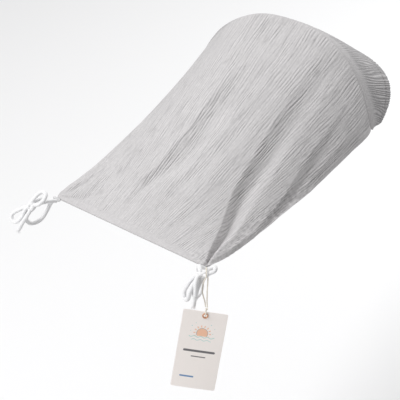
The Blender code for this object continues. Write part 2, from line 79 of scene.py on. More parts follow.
def easeStep(value, start, stop):
    # 0 before start, 1 after stop, 3t^2 - 2t^3 between
    t = np.clip((value - start) / (stop - start), 0.0, 1.0)
    return t * t * (3.0 - 2.0 * t)


def clothNoise(x, y, seed):
    # slopes at random on a square lattice, blended between its corners with 6t^5 - 15t^4 + 10t^3
    slopes = np.random.default_rng(seed).uniform(0.0, 2.0 * math.pi, (256, 256))
    left, low = np.floor(x).astype(int), np.floor(y).astype(int)
    fx, fy = x - left, y - low
    bx, by = (f ** 3 * (f * (f * 6.0 - 15.0) + 10.0) for f in (fx, fy))

    def corner(dx, dy):
        slope = slopes[(left + dx) % 256, (low + dy) % 256]
        return np.cos(slope) * (fx - dx) + np.sin(slope) * (fy - dy)

    near = corner(0, 0) * (1.0 - bx) + corner(1, 0) * bx
    far = corner(0, 1) * (1.0 - bx) + corner(1, 1) * bx
    return 1.5 * (near * (1.0 - by) + far * by)


def putMesh(name, points, faces, material, uv=None, crease=None, sharp=None):
    # faces is a list of arrays, one row of corners for each face; uv has a row for each corner of a face
    mesh = bpy.data.meshes.new(name)
    corners = np.concatenate([part.reshape(-1) for part in faces]).astype(np.int32)
    sizes = np.concatenate([np.full(len(part), part.shape[1]) for part in faces])
    mesh.vertices.add(len(points))
    mesh.vertices.foreach_set("co", np.ascontiguousarray(points, dtype=np.float32).ravel())
    mesh.loops.add(len(corners))
    mesh.loops.foreach_set("vertex_index", corners)
    mesh.polygons.add(len(sizes))
    mesh.polygons.foreach_set("loop_start", np.concatenate([[0], np.cumsum(sizes)[:-1]]).astype(np.int32))
    mesh.update(calc_edges=True)
    if uv is not None:
        layer = mesh.uv_layers.new(name="flat")
        layer.data.foreach_set("uv", np.ascontiguousarray(uv, dtype=np.float32).ravel())
    if crease is not None:
        attribute = mesh.attributes.new("crease", "FLOAT", "POINT")
        attribute.data.foreach_set("value", crease.astype(np.float32))
    mesh.polygons.foreach_set("use_smooth", np.ones(len(sizes), bool))
    if sharp is not None:
        mesh.set_sharp_from_angle(angle=math.radians(sharp))
    mesh.validate()
    thing = bpy.data.objects.new(name, mesh)
    bpy.context.scene.collection.objects.link(thing)
    mesh.materials.append(material)
    return thing


def gridFaces(rows, columns, start=0):
    # squares of a grid of rows and columns, facing the way of rows cross columns
    index = start + np.arange(rows * columns).reshape(rows, columns)
    return np.stack([index[:-1, :-1], index[1:, :-1], index[1:, 1:], index[:-1, 1:]], -1).reshape(-1, 4)


def hoopFaces(rings, count):
    # squares of a tube of rings, each ring closed on itself, and its two end caps
    index = np.arange(rings * count).reshape(rings, count)
    after = np.roll(index, -1, axis=1)
    walls = np.stack([index[:-1], after[:-1], after[1:], index[1:]], -1).reshape(-1, 4)
    return [walls, index[0][None, ::-1], index[-1][None, :]]


def manyHoops(count, rings, sides):
    # hoopFaces for count tubes, whose points follow one another
    starts = (np.arange(count) * rings * sides)[:, None, None]
    return [(part[None] + starts).reshape(-1, part.shape[1]) for part in hoopFaces(rings, sides)]


def hoopUv(rings, count, around, along):
    # u round the tube in metres, v along it in metres, for the corners of hoopFaces
    u = np.arange(count + 1) / count
    wide = np.broadcast_to(u[None, :] * around, (rings, count + 1))
    tall = np.broadcast_to(along[:, None], (rings, count + 1))
    grid = np.stack([wide, tall], -1)
    walls = np.stack([grid[:-1, :-1], grid[:-1, 1:], grid[1:, 1:], grid[1:, :-1]], 2).reshape(-1, 2)
    return np.concatenate([walls, grid[0, :-1][::-1], grid[-1, :-1]])


def smoothRoute(points, spacing):
    # Catmull-Rom curve through the points, then even points on it
    route = np.array(points)
    ends = np.concatenate([[2 * route[0] - route[1]], route, [2 * route[-1] - route[-2]]])
    t = np.linspace(0.0, 1.0, 24, endpoint=False)[:, None]
    pieces = []
    for before, start, stop, after in zip(ends, ends[1:], ends[2:], ends[3:]):
        bend = 2 * start + (stop - before) * t + (2 * before - 5 * start + 4 * stop - after) * t ** 2
        pieces.append((bend + (3 * start - before - 3 * stop + after) * t ** 3) / 2)
    fine = np.concatenate(pieces + [route[-1:]])
    count = max(4, round(runLength(fine)[-1] / spacing) + 1)
    return resampled(fine, np.linspace(0.0, 1.0, count))


def carriedFrames(path):
    # a side direction carried along the path, each time made square to the path's own direction
    ahead = unitRows(np.gradient(path, axis=0))
    side = np.cross(ahead[0], [0.31, 0.17, 0.94])
    sides = np.empty_like(path)
    for step, direction in enumerate(ahead):
        side = side - direction * side.dot(direction)
        side = side / np.linalg.norm(side)
        sides[step] = side
    return sides, np.cross(ahead, sides)


def tubeAlong(name, path, radius, sides, relief, material):
    # ring points = path + (side cos a + up sin a) * (radius + relief(a, run)), with rounded ends
    run = runLength(path)
    sideways, upward = carriedFrames(path)
    turn = np.arange(sides) * 2 * math.pi / sides
    near = np.clip(np.minimum(run, run[-1] - run) / radius, 0.0, 1.0)
    rounded = np.sqrt(np.clip(1.0 - (1.0 - near) ** 2, 0.09, 1.0))
    reach = (radius + relief(turn[None, :], run[:, None])) * rounded[:, None]
    spokes = sideways[:, None] * np.cos(turn)[None, :, None] + upward[:, None] * np.sin(turn)[None, :, None]
    points = path[:, None] + spokes * reach[..., None]
    faces = hoopFaces(len(path), sides)
    uv = hoopUv(len(path), sides, 2 * math.pi * radius, run)
    return putMesh(name, points.reshape(-1, 3), faces, material, uv)


def creasedTube(name, path, radius, sides, relief, material):
    # tubeAlong, with its relief again as an attribute from 0 in the grooves to 1 on the strands, which the finishes
    # turn into painted shade in the grooves
    tube = tubeAlong(name, path, radius, sides, relief, material)
    turn = np.arange(sides) * 2 * math.pi / sides
    heights = relief(turn[None, :], runLength(path)[:, None])
    low, high = heights.min(), heights.max()
    attribute = tube.data.attributes.new("crease", "FLOAT", "POINT")
    attribute.data.foreach_set("value", ((heights - low) / (high - low)).astype(np.float32).ravel())
    return tube


# Materials

def newMaterial(name, roughness, sheen=0.0, metallic=0.0, sheenRough=None):
    # a plain surface, which each finish below gives its pattern
    material = bpy.data.materials.new(name)
    material.use_nodes = True
    tree = material.node_tree
    shader = tree.nodes["Principled BSDF"]
    shader.inputs["Roughness"].default_value = roughness
    shader.inputs["Metallic"].default_value = metallic
    shader.inputs["Sheen Weight"].default_value = sheen
    if sheenRough is not None:
        shader.inputs["Sheen Roughness"].default_value = sheenRough
    return material, tree, shader


def creaseOf(tree):
    # the mesh's own attribute of that name
    return addNode(tree, "ShaderNodeAttribute", attribute_name="crease").outputs["Fac"]


def addNode(tree, kind, inputs=None, **settings):
    # inputs are linked where they are sockets and set where they are numbers
    node = tree.nodes.new(kind)
    for key, value in settings.items():
        setattr(node, key, value)
    for key, value in (inputs or {}).items():
        if isinstance(value, bpy.types.NodeSocket):
            tree.links.new(value, node.inputs[key])
        else:
            node.inputs[key].default_value = value
    return node


def sumNode(tree, operation, first, second=0.0, third=0.0):
    # one step of arithmetic
    inputs = {0: first, 1: second}
    if operation == "MULTIPLY_ADD":
        inputs[2] = third
    return addNode(tree, "ShaderNodeMath", inputs, operation=operation).outputs[0]


def timesNode(tree, first, second):
    # first times second
    return sumNode(tree, "MULTIPLY", first, second)


def mixColours(tree, share, first, second, blend="MIX"):
    # first where the share is 0, second where it is 1
    ends = {0: share, 6: first if isinstance(first, bpy.types.NodeSocket) else (*first, 1.0),
            7: second if isinstance(second, bpy.types.NodeSocket) else (*second, 1.0)}
    return addNode(tree, "ShaderNodeMix", ends, data_type="RGBA", blend_type=blend).outputs[2]


def spread(tree, value, fromLow, fromHigh, toLow=0.0, toHigh=1.0):
    # a straight change of range, held at both ends
    ends = {"Value": value, "From Min": fromLow, "From Max": fromHigh, "To Min": toLow, "To Max": toHigh}
    return addNode(tree, "ShaderNodeMapRange", ends).outputs["Result"]


def flatPlace(tree, scale=(1.0, 1.0, 1.0)):
    # the piece's own UV map, in metres, stretched by scale
    source = addNode(tree, "ShaderNodeUVMap", uv_map="flat").outputs[0]
    return addNode(tree, "ShaderNodeMapping", {"Vector": source, "Scale": scale}).outputs[0]


def noiseOf(tree, place, scale, detail=3.0, roughness=0.6):
    # soft noise from 0 to 1, finer with detail
    ends = {"Vector": place, "Scale": scale, "Detail": detail, "Roughness": roughness}
    return addNode(tree, "ShaderNodeTexNoise", ends).outputs["Fac"]


def joinBump(tree, shader, layers):
    # bumps on top of each other: (height socket, strength, distance)
    normal = None
    for height, strength, distance in layers:
        ends = {"Height": height, "Strength": strength, "Distance": distance}
        if normal is not None:
            ends["Normal"] = normal
        normal = addNode(tree, "ShaderNodeBump", ends).outputs[0]
    tree.links.new(normal, shader.inputs["Normal"])


# Micro, puffs and slub: noise cells for each metre along u and v. Bumps: strength and depth in metres
# ridge is the cloth's lit colour and valley the same cloth in painted shade
muslinLook = {"ridge": (0.668, 0.651, 0.655), "valley": (0.338, 0.330, 0.335), "yarn": 0.00068, "slack": 2.2,
              "micro": (330.0, 30.0, 1.0), "puffs": (215.0, 135.0, 1.0), "slub": (1400.0, 120.0, 1.0),
              "microShare": 0.40, "puffShare": 0.30, "paintedShadeShare": 0.42, "depth": (0.12, 0.82),
              "microBump": (0.6, 0.0012), "puffBump": (0.6, 0.0010), "weaveBump": (0.5, 0.00012)}


def muslinMaterial():
    # plain weave: sin(u) sin(v) of the flat cloth; colour between the valley's painted shade and the ridge by the
    # crease attribute and the micro and puff noise, so the crinkles' grooves and the bumps' low parts are painted
    # darker
    look = muslinLook
    material, tree, shader = newMaterial("crinkledMuslin", 0.92, sheen=0.12, sheenRough=0.45)
    place = addNode(tree, "ShaderNodeSeparateXYZ", {0: flatPlace(tree)})
    turns = 2 * math.pi / look["yarn"]
    slack = timesNode(tree, noiseOf(tree, flatPlace(tree), 700.0, 1.0), look["slack"])
    warp = sumNode(tree, "SINE", sumNode(tree, "MULTIPLY_ADD", place.outputs[0], turns, slack))
    weft = sumNode(tree, "SINE", sumNode(tree, "MULTIPLY_ADD", place.outputs[1], turns, slack))
    weave = timesNode(tree, warp, weft)
    micro = noiseOf(tree, flatPlace(tree, look["micro"]), 1.0, 4.0, 0.66)
    puffs = noiseOf(tree, flatPlace(tree, look["puffs"]), 1.0, 3.0, 0.6)
    # painted shade: darker where the crease attribute, the puffs and the micro bumps are low
    lumps = timesNode(tree, creaseOf(tree), look["paintedShadeShare"])
    lumps = sumNode(tree, "MULTIPLY_ADD", puffs, look["puffShare"], lumps)
    depth = sumNode(tree, "MULTIPLY_ADD", micro, look["microShare"], lumps)
    share = spread(tree, depth, *look["depth"])
    colour = mixColours(tree, share, look["valley"], look["ridge"])
    patches = spread(tree, noiseOf(tree, flatPlace(tree), 9.0, 2.0), 0.3, 0.7, 0.965, 1.02)
    slub = spread(tree, noiseOf(tree, flatPlace(tree, look["slub"]), 1.0, 2.0), 0.3, 0.7, 0.95, 1.05)
    holes = spread(tree, weave, -1.0, 0.2, 0.93, 1.0)
    tone = timesNode(tree, timesNode(tree, patches, slub), holes)
    grey = addNode(tree, "ShaderNodeCombineXYZ", {0: tone, 1: tone, 2: tone}).outputs[0]
    colour = mixColours(tree, 1.0, colour, grey, "MULTIPLY")
    tree.links.new(colour, shader.inputs["Base Color"])
    tree.links.new(spread(tree, micro, 0.3, 0.7, 0.86, 0.97), shader.inputs["Roughness"])
    joinBump(tree, shader, [(micro, *look["microBump"]), (puffs, *look["puffBump"]), (weave, *look["weaveBump"])])
    return material


# Stripes: radians for each metre along v and u
# hem and tack: each thread's colour in painted shade in its ply grooves, then its lit colour
threadLook = {"stripes": (9000.0, 4500.0), "bump": (0.5, 0.00008),
              "hem": ((0.52, 0.51, 0.515), (0.76, 0.745, 0.75)), "tack": ((0.66, 0.66, 0.67), (0.86, 0.86, 0.86))}


def threadMaterial(name, dark, light):
    # twisted sewing thread: slanting stripes of u + v, painted shade in the grooves between its plies
    material, tree, shader = newMaterial(name, 0.7, sheen=0.2)
    place = addNode(tree, "ShaderNodeSeparateXYZ", {0: flatPlace(tree)})
    tall, wide = threadLook["stripes"]
    slant = sumNode(tree, "MULTIPLY_ADD", place.outputs[1], tall, timesNode(tree, place.outputs[0], wide))
    ply = sumNode(tree, "SINE", slant)
    colour = mixColours(tree, spread(tree, ply, -1.0, 1.0), dark, light)
    tree.links.new(colour, shader.inputs["Base Color"])
    joinBump(tree, shader, [(ply, *threadLook["bump"])])
    return material


cottonLook = {"shadedGroove": (0.58, 0.58, 0.60), "strand": (0.84, 0.84, 0.845), "fibres": (2600.0, 900.0, 1.0),
              "fluff": 320.0, "paintedShadeShare": 0.6, "fibreShare": 0.6, "fibreBump": (0.6, 0.0003),
              "fluffBump": (0.3, 0.0003)}


def cordMaterial():
    # cotton braid: fine fibres along the strands, with painted shade between them
    look = cottonLook
    material, tree, shader = newMaterial("braidedCotton", 0.85, sheen=0.35, sheenRough=0.4)
    fibres = noiseOf(tree, flatPlace(tree, look["fibres"]), 1.0, 3.0)
    fluff = noiseOf(tree, flatPlace(tree), look["fluff"], 3.0)
    share = timesNode(tree, fibres, look["fibreShare"])
    share = sumNode(tree, "MULTIPLY_ADD", creaseOf(tree), look["paintedShadeShare"], share)
    colour = mixColours(tree, spread(tree, share, 0.0, 0.9), look["shadedGroove"], look["strand"])
    tree.links.new(colour, shader.inputs["Base Color"])
    tree.links.new(spread(tree, fluff, 0.3, 0.7, 0.78, 0.95), shader.inputs["Roughness"])
    joinBump(tree, shader, [(fibres, *look["fibreBump"]), (fluff, *look["fluffBump"])])
    return material


twineLook = {"shadedGroove": (0.50, 0.45, 0.37), "strand": (0.82, 0.77, 0.68), "fibres": (3600.0, 1400.0, 1.0),
             "paintedShadeShare": 0.5, "fibreShare": 0.7, "bump": (0.6, 0.0002)}


def twineMaterial():
    # cream cotton: light plies, painted shade in the groove between them, with fine fibres
    look = twineLook
    material, tree, shader = newMaterial("twistedTwine", 0.88, sheen=0.2)
    fibres = noiseOf(tree, flatPlace(tree, look["fibres"]), 1.0, 3.0)
    share = timesNode(tree, fibres, look["fibreShare"])
    share = sumNode(tree, "MULTIPLY_ADD", creaseOf(tree), look["paintedShadeShare"], share)
    colour = mixColours(tree, spread(tree, share, 0.0, 0.9), look["shadedGroove"], look["strand"])
    tree.links.new(colour, shader.inputs["Base Color"])
    joinBump(tree, shader, [(fibres, *look["bump"])])
    return material


# Rows: radians for each metre along v and u
elasticLook = {"shadedGroove": (0.62, 0.62, 0.60), "rib": (0.84, 0.84, 0.82), "rows": (7000.0, 9000.0),
               "bump": (0.6, 0.0002)}


def elasticMaterial():
    # knitted cover: ribs along the elastic, crossed by fine rows, with painted shade in the knit's grooves
    look = elasticLook
    material, tree, shader = newMaterial("knittedElastic", 0.8, sheen=0.2)
    place = addNode(tree, "ShaderNodeSeparateXYZ", {0: flatPlace(tree)})
    rows = sumNode(tree, "SINE", timesNode(tree, place.outputs[1], look["rows"][0]))
    ribs = sumNode(tree, "SINE", timesNode(tree, place.outputs[0], look["rows"][1]))
    knit = timesNode(tree, rows, ribs)
    colour = mixColours(tree, spread(tree, knit, -1.0, 1.0), look["shadedGroove"], look["rib"])
    tree.links.new(colour, shader.inputs["Base Color"])
    joinBump(tree, shader, [(knit, *look["bump"])])
    return material


copperLook = {"bright": (0.80, 0.46, 0.30), "dull": (0.62, 0.33, 0.21), "wear": 900.0, "spots": 260.0,
              "rough": (0.2, 0.42), "bump": (0.2, 0.0001)}


def copperMaterial():
    # plated metal with fine wear and small dull spots
    look = copperLook
    material, tree, shader = newMaterial("copperPlate", 0.26, metallic=1.0)
    source = addNode(tree, "ShaderNodeTexCoord").outputs["Object"]
    wear = noiseOf(tree, source, look["wear"], 4.0)
    spots = noiseOf(tree, source, look["spots"], 2.0)
    colour = mixColours(tree, spread(tree, spots, 0.35, 0.7), look["bright"], look["dull"])
    tree.links.new(colour, shader.inputs["Base Color"])
    tree.links.new(spread(tree, wear, 0.3, 0.7, *look["rough"]), shader.inputs["Roughness"])
    joinBump(tree, shader, [(wear, *look["bump"])])
    return material


muslin = muslinMaterial()
hemThread = threadMaterial("sewingThread", *threadLook["hem"])
tackThread = threadMaterial("whiteThread", *threadLook["tack"])
cotton = cordMaterial()
twine = twineMaterial()
elastic = elasticMaterial()
copper = copperMaterial()
print("materials made")


# Places that part.py's solids use too

arch = {"width": 0.420, "rise": 0.170, "lean": 0.19, "shoulder": 0.77, "crest": 1.65}
bandForm = {"width": 0.430, "crestBack": 0.090, "crestDrop": 0.080, "endBack": -0.029, "endDrop": 0.176,
            "shoulder": 0.55, "backCrest": 0.45, "dropCrest": 0.70, "bulge": 0.007, "bulgeCentreDrop": 0.280,
            "endShare": 0.012, "channel": 0.012, "elastic": 0.0015, "elasticClear": 0.0004}
span = {"barRadius": 0.019, "barBack": -0.600, "barDrop": 0.178, "halfSpan": 0.168, "lift": 0.010,
        "leftBehind": 0.047, "rightBehind": 0.035, "leftSag": 0.010, "rightSag": 0.034, "sagBias": 0.45}
sewing = {"cloth": 0.0015, "hemFold": 0.0012, "sideHem": 0.010, "frontHem": 0.016, "gap": 0.0003}


def seamLine(shares):
    # x = half width cos^shoulder, z = rise (sin^crest - 1), y leans with z; then evenly by length
    angle = np.linspace(math.pi, 0.0, 1441)
    across = np.cos(angle)
    height = arch["rise"] * (np.sin(angle).clip(0.0) ** arch["crest"] - 1.0)
    x = arch["width"] / 2 * np.sign(across) * np.abs(across) ** arch["shoulder"]
    return resampled(np.stack([x, arch["lean"] * height, height], -1), shares)


def hemLine(shares):
    # the band's lower and wider arch: x by cos^shoulder, y and z by powers of sin
    angle = np.linspace(math.pi, 0.0, 1441)
    across = np.cos(angle)
    rise = np.sin(angle).clip(0.0)
    x = bandForm["width"] / 2 * np.sign(across) * np.abs(across) ** bandForm["shoulder"]
    y = bandForm["endBack"] + (bandForm["crestBack"] - bandForm["endBack"]) * rise ** bandForm["backCrest"]
    z = -bandForm["endDrop"] + (bandForm["endDrop"] - bandForm["crestDrop"]) * rise ** bandForm["dropCrest"]
    return resampled(np.stack([x, y, z], -1), shares)


def frontLine(shares):
    # straight from the left corner to the right one
    height = span["lift"] - span["barDrop"]
    left = np.array([-span["halfSpan"], span["barBack"] + span["leftBehind"], height])
    right = np.array([span["halfSpan"], span["barBack"] + span["rightBehind"], height])
    return left + (right - left) * np.asarray(shares)[:, None]


def gridNormals(grid):
    # across step x along step, so they point out of the side that shows
    return unitRows(np.cross(np.gradient(grid, axis=0), np.gradient(grid, axis=1)))


# Tie cords and their bows

tieCord = {"diameter": 0.0068, "spacing": 0.00055, "sides": 25, "braidStrands": 5, "braidPitch": 0.0150,
           "braidDepth": 0.00030, "fluff": 0.00034, "clear": 0.0020, "knotRadius": 0.0088, "leftOut": 0.012,
           "leftAngle": 57.0, "rightOut": 0.0237, "rightAngle": 68.5, "rightLift": 0.001791, "flattening": 0.93,
           "turnRadius": 0.0052, "wideTurn": -0.35, "wideStep": 0.0005, "arcStep": 0.55,
           "tackDepth": 0.004, "tackHeight": 0.0065, "tackClear": 0.0007}

# The points of part.py's cords. Leaving: the directions in which strands leave the knot, over the bar, under it,
# upper loop out and in, lower loop out and in, long tail, short tail. Steps are metres from the knot,
# round is a step in x, an angle up from the bar's front and a height over the bar
bowPoints = {
    "left": {
        "tackStep": 0.0040, "fromUnder": False,
        "leaving": ((0.47, 0.87, 0.12), (-0.32, -0.30, -0.90), (-0.12, 0.54, 0.84), (0.80, 0.33, 0.51),
                    (-0.93, 0.10, -0.35), (-0.60, -0.75, -0.28), (0.20, -0.80, -0.57), (-0.30, 0.93, 0.20)),
        "over": ((0.0135, 0.0425, -0.0080), (0.0110, 0.0280, -0.0020), (0.0078, 0.0145, 0.0020)),
        "upper": ((0.0010, 0.0105, 0.0145), (0.0065, 0.0180, 0.0225), (0.0135, 0.0220, 0.0255),
                  (0.0210, 0.0195, 0.0235), (0.0210, 0.0120, 0.0165), (0.0145, 0.0045, 0.0085)),
        "long": ((0.0005, -0.0155, -0.0125), (-0.0070, -0.0200, -0.0285), (-0.0164, -0.0220, -0.0481)),
        "round": ((-0.0050, 174, 0.0085), (-0.0075, 197, 0.0025), (-0.0105, 237, 0.0008), (-0.0140, 272, 0.0010),
                  (-0.0175, 307, 0.0012), (-0.0190, 343, 0.0010), (-0.0175, 371, 0.0012)),
        "lower": ((-0.0220, -0.0040, -0.0120), (-0.0342, -0.0107, -0.0215), (-0.0375, -0.0145, -0.0305),
                  (-0.0310, -0.0170, -0.0370), (-0.0215, -0.0170, -0.0325), (-0.0120, -0.0130, -0.0190)),
        "short": ((-0.0015, 0.0215, 0.0025), (0.0015, 0.0355, -0.0040))},
    "right": {
        "tackStep": -0.0040, "fromUnder": True,
        "leaving": ((-0.54, 0.81, 0.24), (0.14, -0.20, -0.97), (0.32, 0.68, 0.62), (0.84, 0.29, 0.43),
                    (-0.95, -0.25, -0.20), (-0.40, -0.75, -0.53), (0.40, -0.76, -0.51), (0.05, -0.88, 0.47)),
        "over": ((-0.0240, 0.0300, -0.0160), (-0.0210, 0.0255, -0.0045), (-0.0155, 0.0205, 0.0025),
                 (-0.0087, 0.0128, 0.0041)),
        "upper": ((0.0081, 0.0108, 0.0100), (0.0110, 0.0144, 0.0134), (0.0140, 0.0177, 0.0165),
                  (0.0171, 0.0186, 0.0181), (0.0204, 0.0172, 0.0182), (0.0220, 0.0143, 0.0167),
                  (0.0209, 0.0117, 0.0145), (0.0170, 0.0092, 0.0116), (0.0127, 0.0068, 0.0086)),
        "long": ((0.0048, -0.0167, -0.0154), (0.0033, -0.0217, -0.0344), (0.0019, -0.0231, -0.0513)),
        "round": ((0.0050, 203, 0.0034), (0.0085, 222, 0.0016), (0.0125, 244, 0.0010), (0.0155, 280, 0.0015),
                  (0.0172, 315, 0.0015), (0.0188, 352, 0.0003), (0.0214, 384, 0.0003)),
        "lower": ((-0.0168, -0.0082, -0.0140), (-0.0215, -0.0155, -0.0280), (-0.0209, -0.0182, -0.0376),
                  (-0.0198, -0.0196, -0.0415), (-0.0162, -0.0212, -0.0432), (-0.0123, -0.0221, -0.0418),
                  (-0.0103, -0.0218, -0.0380), (-0.0086, -0.0202, -0.0290), (-0.0068, -0.0184, -0.0190)),
        "short": ((0.0038, -0.0190, 0.0015), (0.0074, -0.0250, -0.0090), (0.0088, -0.0272, -0.0215))}}


def barPoint(out, angle, height):
    # x, an angle up from the bar's front and a height over the bar
    reach = span["barRadius"] + height
    turn = math.radians(angle)
    return np.array([out, span["barBack"] - reach * math.cos(turn), reach * math.sin(turn) - span["barDrop"]])


def tackMiddle(corner):
    # in front of its corner and a little below it
    return corner - np.array([0.0, tieCord["tackDepth"] / 2 + tieCord["tackClear"], tieCord["tackHeight"] / 4])


def offTack(corner, step, under=False):
    # where a strand leaves the front or the underside of its tack
    middle = tackMiddle(corner)
    if under:
        return middle + np.array([step, 0.0, -tieCord["tackHeight"] / 2 - tieCord["clear"]])
    return middle + np.array([step, -tieCord["tackDepth"] / 2 - tieCord["clear"], 0.0])


def offKnot(knot, directions):
    # where strands leave a knot
    reach = tieCord["knotRadius"] + tieCord["clear"]
    return [knot + unitRows(np.array(direction)) * reach for direction in directions]


def roundBar(cornerX, turns):
    # points over the bar, a cord's radius further out
    return [barPoint(cornerX + step, angle, tieCord["diameter"] / 2 + height) for step, angle, height in turns]


def nearKnot(knot, steps):
    # points at steps from a knot
    return [knot + np.array(step) for step in steps]


def throughKnot(knot, arriving, leaving):
    # inside the knot: one point between wide directions, or else an arc of turnRadius round the far side,
    # from where the arriving strand would touch it: half the angle between the strands + acos(radius / reach)
    inward, outward = unitRows(arriving - knot), unitRows(leaving - knot)
    middle = unitRows(inward + outward + 1e-6)
    if inward.dot(outward) < tieCord["wideTurn"]:
        return [knot + middle * tieCord["wideStep"]]
    side = unitRows(inward - middle * inward.dot(middle))
    radius, reach = tieCord["turnRadius"], tieCord["knotRadius"] + tieCord["clear"]
    start = math.acos(np.clip(inward.dot(middle), -1, 1)) + math.acos(radius / reach)
    count = max(3, round((2 * math.pi - 2 * start) / tieCord["arcStep"]))
    turns = np.linspace(start, 2 * math.pi - start, count)
    return [knot + radius * (math.cos(turn) * middle + math.sin(turn) * side) for turn in turns]


def strandRoute(knot, first, loop, tail):
    # first stretch, through the knot, bow loop, through the knot again, tail
    return [*first, *throughKnot(knot, first[-1], loop[0]), *loop, *throughKnot(knot, loop[-1], tail[0]), *tail]


leftCorner, rightCorner = frontLine([0.0, 1.0])
knotHeight = tieCord["knotRadius"] * tieCord["flattening"] + sewing["gap"]
leftKnot = barPoint(-span["halfSpan"] - tieCord["leftOut"], tieCord["leftAngle"], knotHeight)
rightKnot = barPoint(span["halfSpan"] + tieCord["rightOut"], tieCord["rightAngle"],
                     knotHeight + tieCord["rightLift"])


def tieStrands(side, knot, corner):
    # first: tack, over the bar, knot, upper loop, knot, long tail
    # second: tack, round the bar, knot, lower loop, knot, short tail
    bow = bowPoints[side]
    over, under, upperOut, upperIn, lowerOut, lowerIn, longOut, shortOut = offKnot(knot, bow["leaving"])
    near = {name: nearKnot(knot, bow[name]) for name in ("over", "upper", "long", "lower", "short")}
    first = strandRoute(knot, [offTack(corner, bow["tackStep"]), *near["over"], over],
                        [upperOut, *near["upper"], upperIn], [longOut, *near["long"]])
    start = [offTack(corner, -bow["tackStep"], bow["fromUnder"]), *roundBar(corner[0], bow["round"]), under]
    second = strandRoute(knot, start, [lowerOut, *near["lower"], lowerIn], [shortOut, *near["short"]])
    return first, second


def braidRelief(turn, run):
    # strands wound both ways: the higher of cos n(a + 2 pi s / pitch) and cos n(a - 2 pi s / pitch)
    n = tieCord["braidStrands"]
    wind = 2 * math.pi * run / tieCord["braidPitch"]
    return tieCord["braidDepth"] * (np.maximum(np.cos(n * (turn + wind)), np.cos(n * (turn - wind))) - 0.55)


def braidedCord(name, route):
    # the braid carried along a strand's smoothed route
    path = smoothRoute(route, tieCord["spacing"])
    radius = tieCord["diameter"] / 2 + tieCord["fluff"]
    cord = creasedTube(name, path, radius, tieCord["sides"], braidRelief, cotton)
    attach(cord, "root")
    return cord, path


tieKnot = {"size": 0.00200, "rise": 1.5, "overlap": 0.16, "points": 110}


def trefoil():
    # (sin t + 2 sin 2t, cos t - 2 cos 2t, -rise sin 3t), its ends laid over each other
    t = np.linspace(0.0, 2 * math.pi + tieKnot["overlap"], tieKnot["points"])
    return np.stack([np.sin(t) + 2 * np.sin(2 * t), np.cos(t) - 2 * np.cos(2 * t),
                     -tieKnot["rise"] * np.sin(3 * t)], -1)


def knotPath(centre, outward, roll, lobes):
    # the trefoil stretched unevenly, rolled and faced outward
    flat = trefoil() * np.array([*lobes, 1.0]) * tieKnot["size"]
    outward = unitRows(np.array(outward, float))
    aside = unitRows(np.cross([0.0, 0.0, 1.0], outward))
    upward = np.cross(outward, aside)
    turned = math.radians(roll)
    first = aside * math.cos(turned) + upward * math.sin(turned)
    second = upward * math.cos(turned) - aside * math.sin(turned)
    path = centre + flat[:, :1] * first + flat[:, 1:2] * second + flat[:, 2:] * outward
    return smoothRoute(path, tieCord["spacing"])


def bowKnot(name, node, centre, outward, roll, lobes):
    # the braid carried along the knot's path
    path = knotPath(centre, outward, roll, lobes)
    radius = tieCord["diameter"] / 2 + tieCord["fluff"] / 2
    knot = creasedTube(name, path, radius, tieCord["sides"], braidRelief, cotton)
    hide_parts(node)
    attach(knot, "root")
    return knot


fray = {"fibres": 90, "length": 0.0062, "thickness": 0.00011, "sides": 4, "rings": 6, "flare": 0.55,
        "root": 0.0016, "within": 0.42, "wave": 0.0004, "droop": 0.0010}


def frayedEnd(name, path, seed):
    # fibres = tip + spread disc point + t length (ahead + flare sideways t) + small waves
    random = np.random.default_rng(seed)
    tip = path[-1]
    ahead = unitRows(path[-1] - path[-6])
    side = unitRows(np.cross(ahead, [0.3, 0.2, 0.9]))
    up = np.cross(ahead, side)
    count, rings, sides = fray["fibres"], fray["rings"], fray["sides"]
    turn = random.uniform(0, 2 * math.pi, count)
    out = np.sqrt(random.uniform(0.0, 1.0, count))
    away = side * np.cos(turn)[:, None] + up * np.sin(turn)[:, None]
    t = np.linspace(0.0, 1.0, rings)
    size = fray["length"] * random.uniform(0.55, 1.0, count)
    wave = random.normal(0.0, fray["wave"], (count, 3))
    base = tip - ahead * fray["root"] + away * (out * tieCord["diameter"] * fray["within"])[:, None]
    line = base[:, None] + ahead * (size[:, None] * t)[..., None]
    line += away[:, None] * (fray["flare"] * size * out)[:, None, None] * (t ** 1.6)[None, :, None]
    droop = np.array([0, 0, -fray["droop"]])
    line += wave[:, None] * np.sin(t * 2.4)[None, :, None] + droop * (t ** 2)[None, :, None]
    corner = np.arange(sides) * 2 * math.pi / sides
    ring = side * np.cos(corner)[:, None] + up * np.sin(corner)[:, None]
    thick = fray["thickness"] * (1.0 - 0.55 * t)
    points = line[:, :, None] + ring[None, None] * thick[None, :, None, None]
    faces = manyHoops(count, rings, sides)
    corners = sum(part.size for part in faces)
    flatUv = np.tile([[0.0, 0.0], [0.0003, 0.0], [0.0003, 0.001], [0.0, 0.001]], (corners // 4, 1))
    piece = putMesh(name, points.reshape(-1, 3), faces, cotton, flatUv, np.full(count * rings * sides, 0.8))
    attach(piece, "root")
    return piece


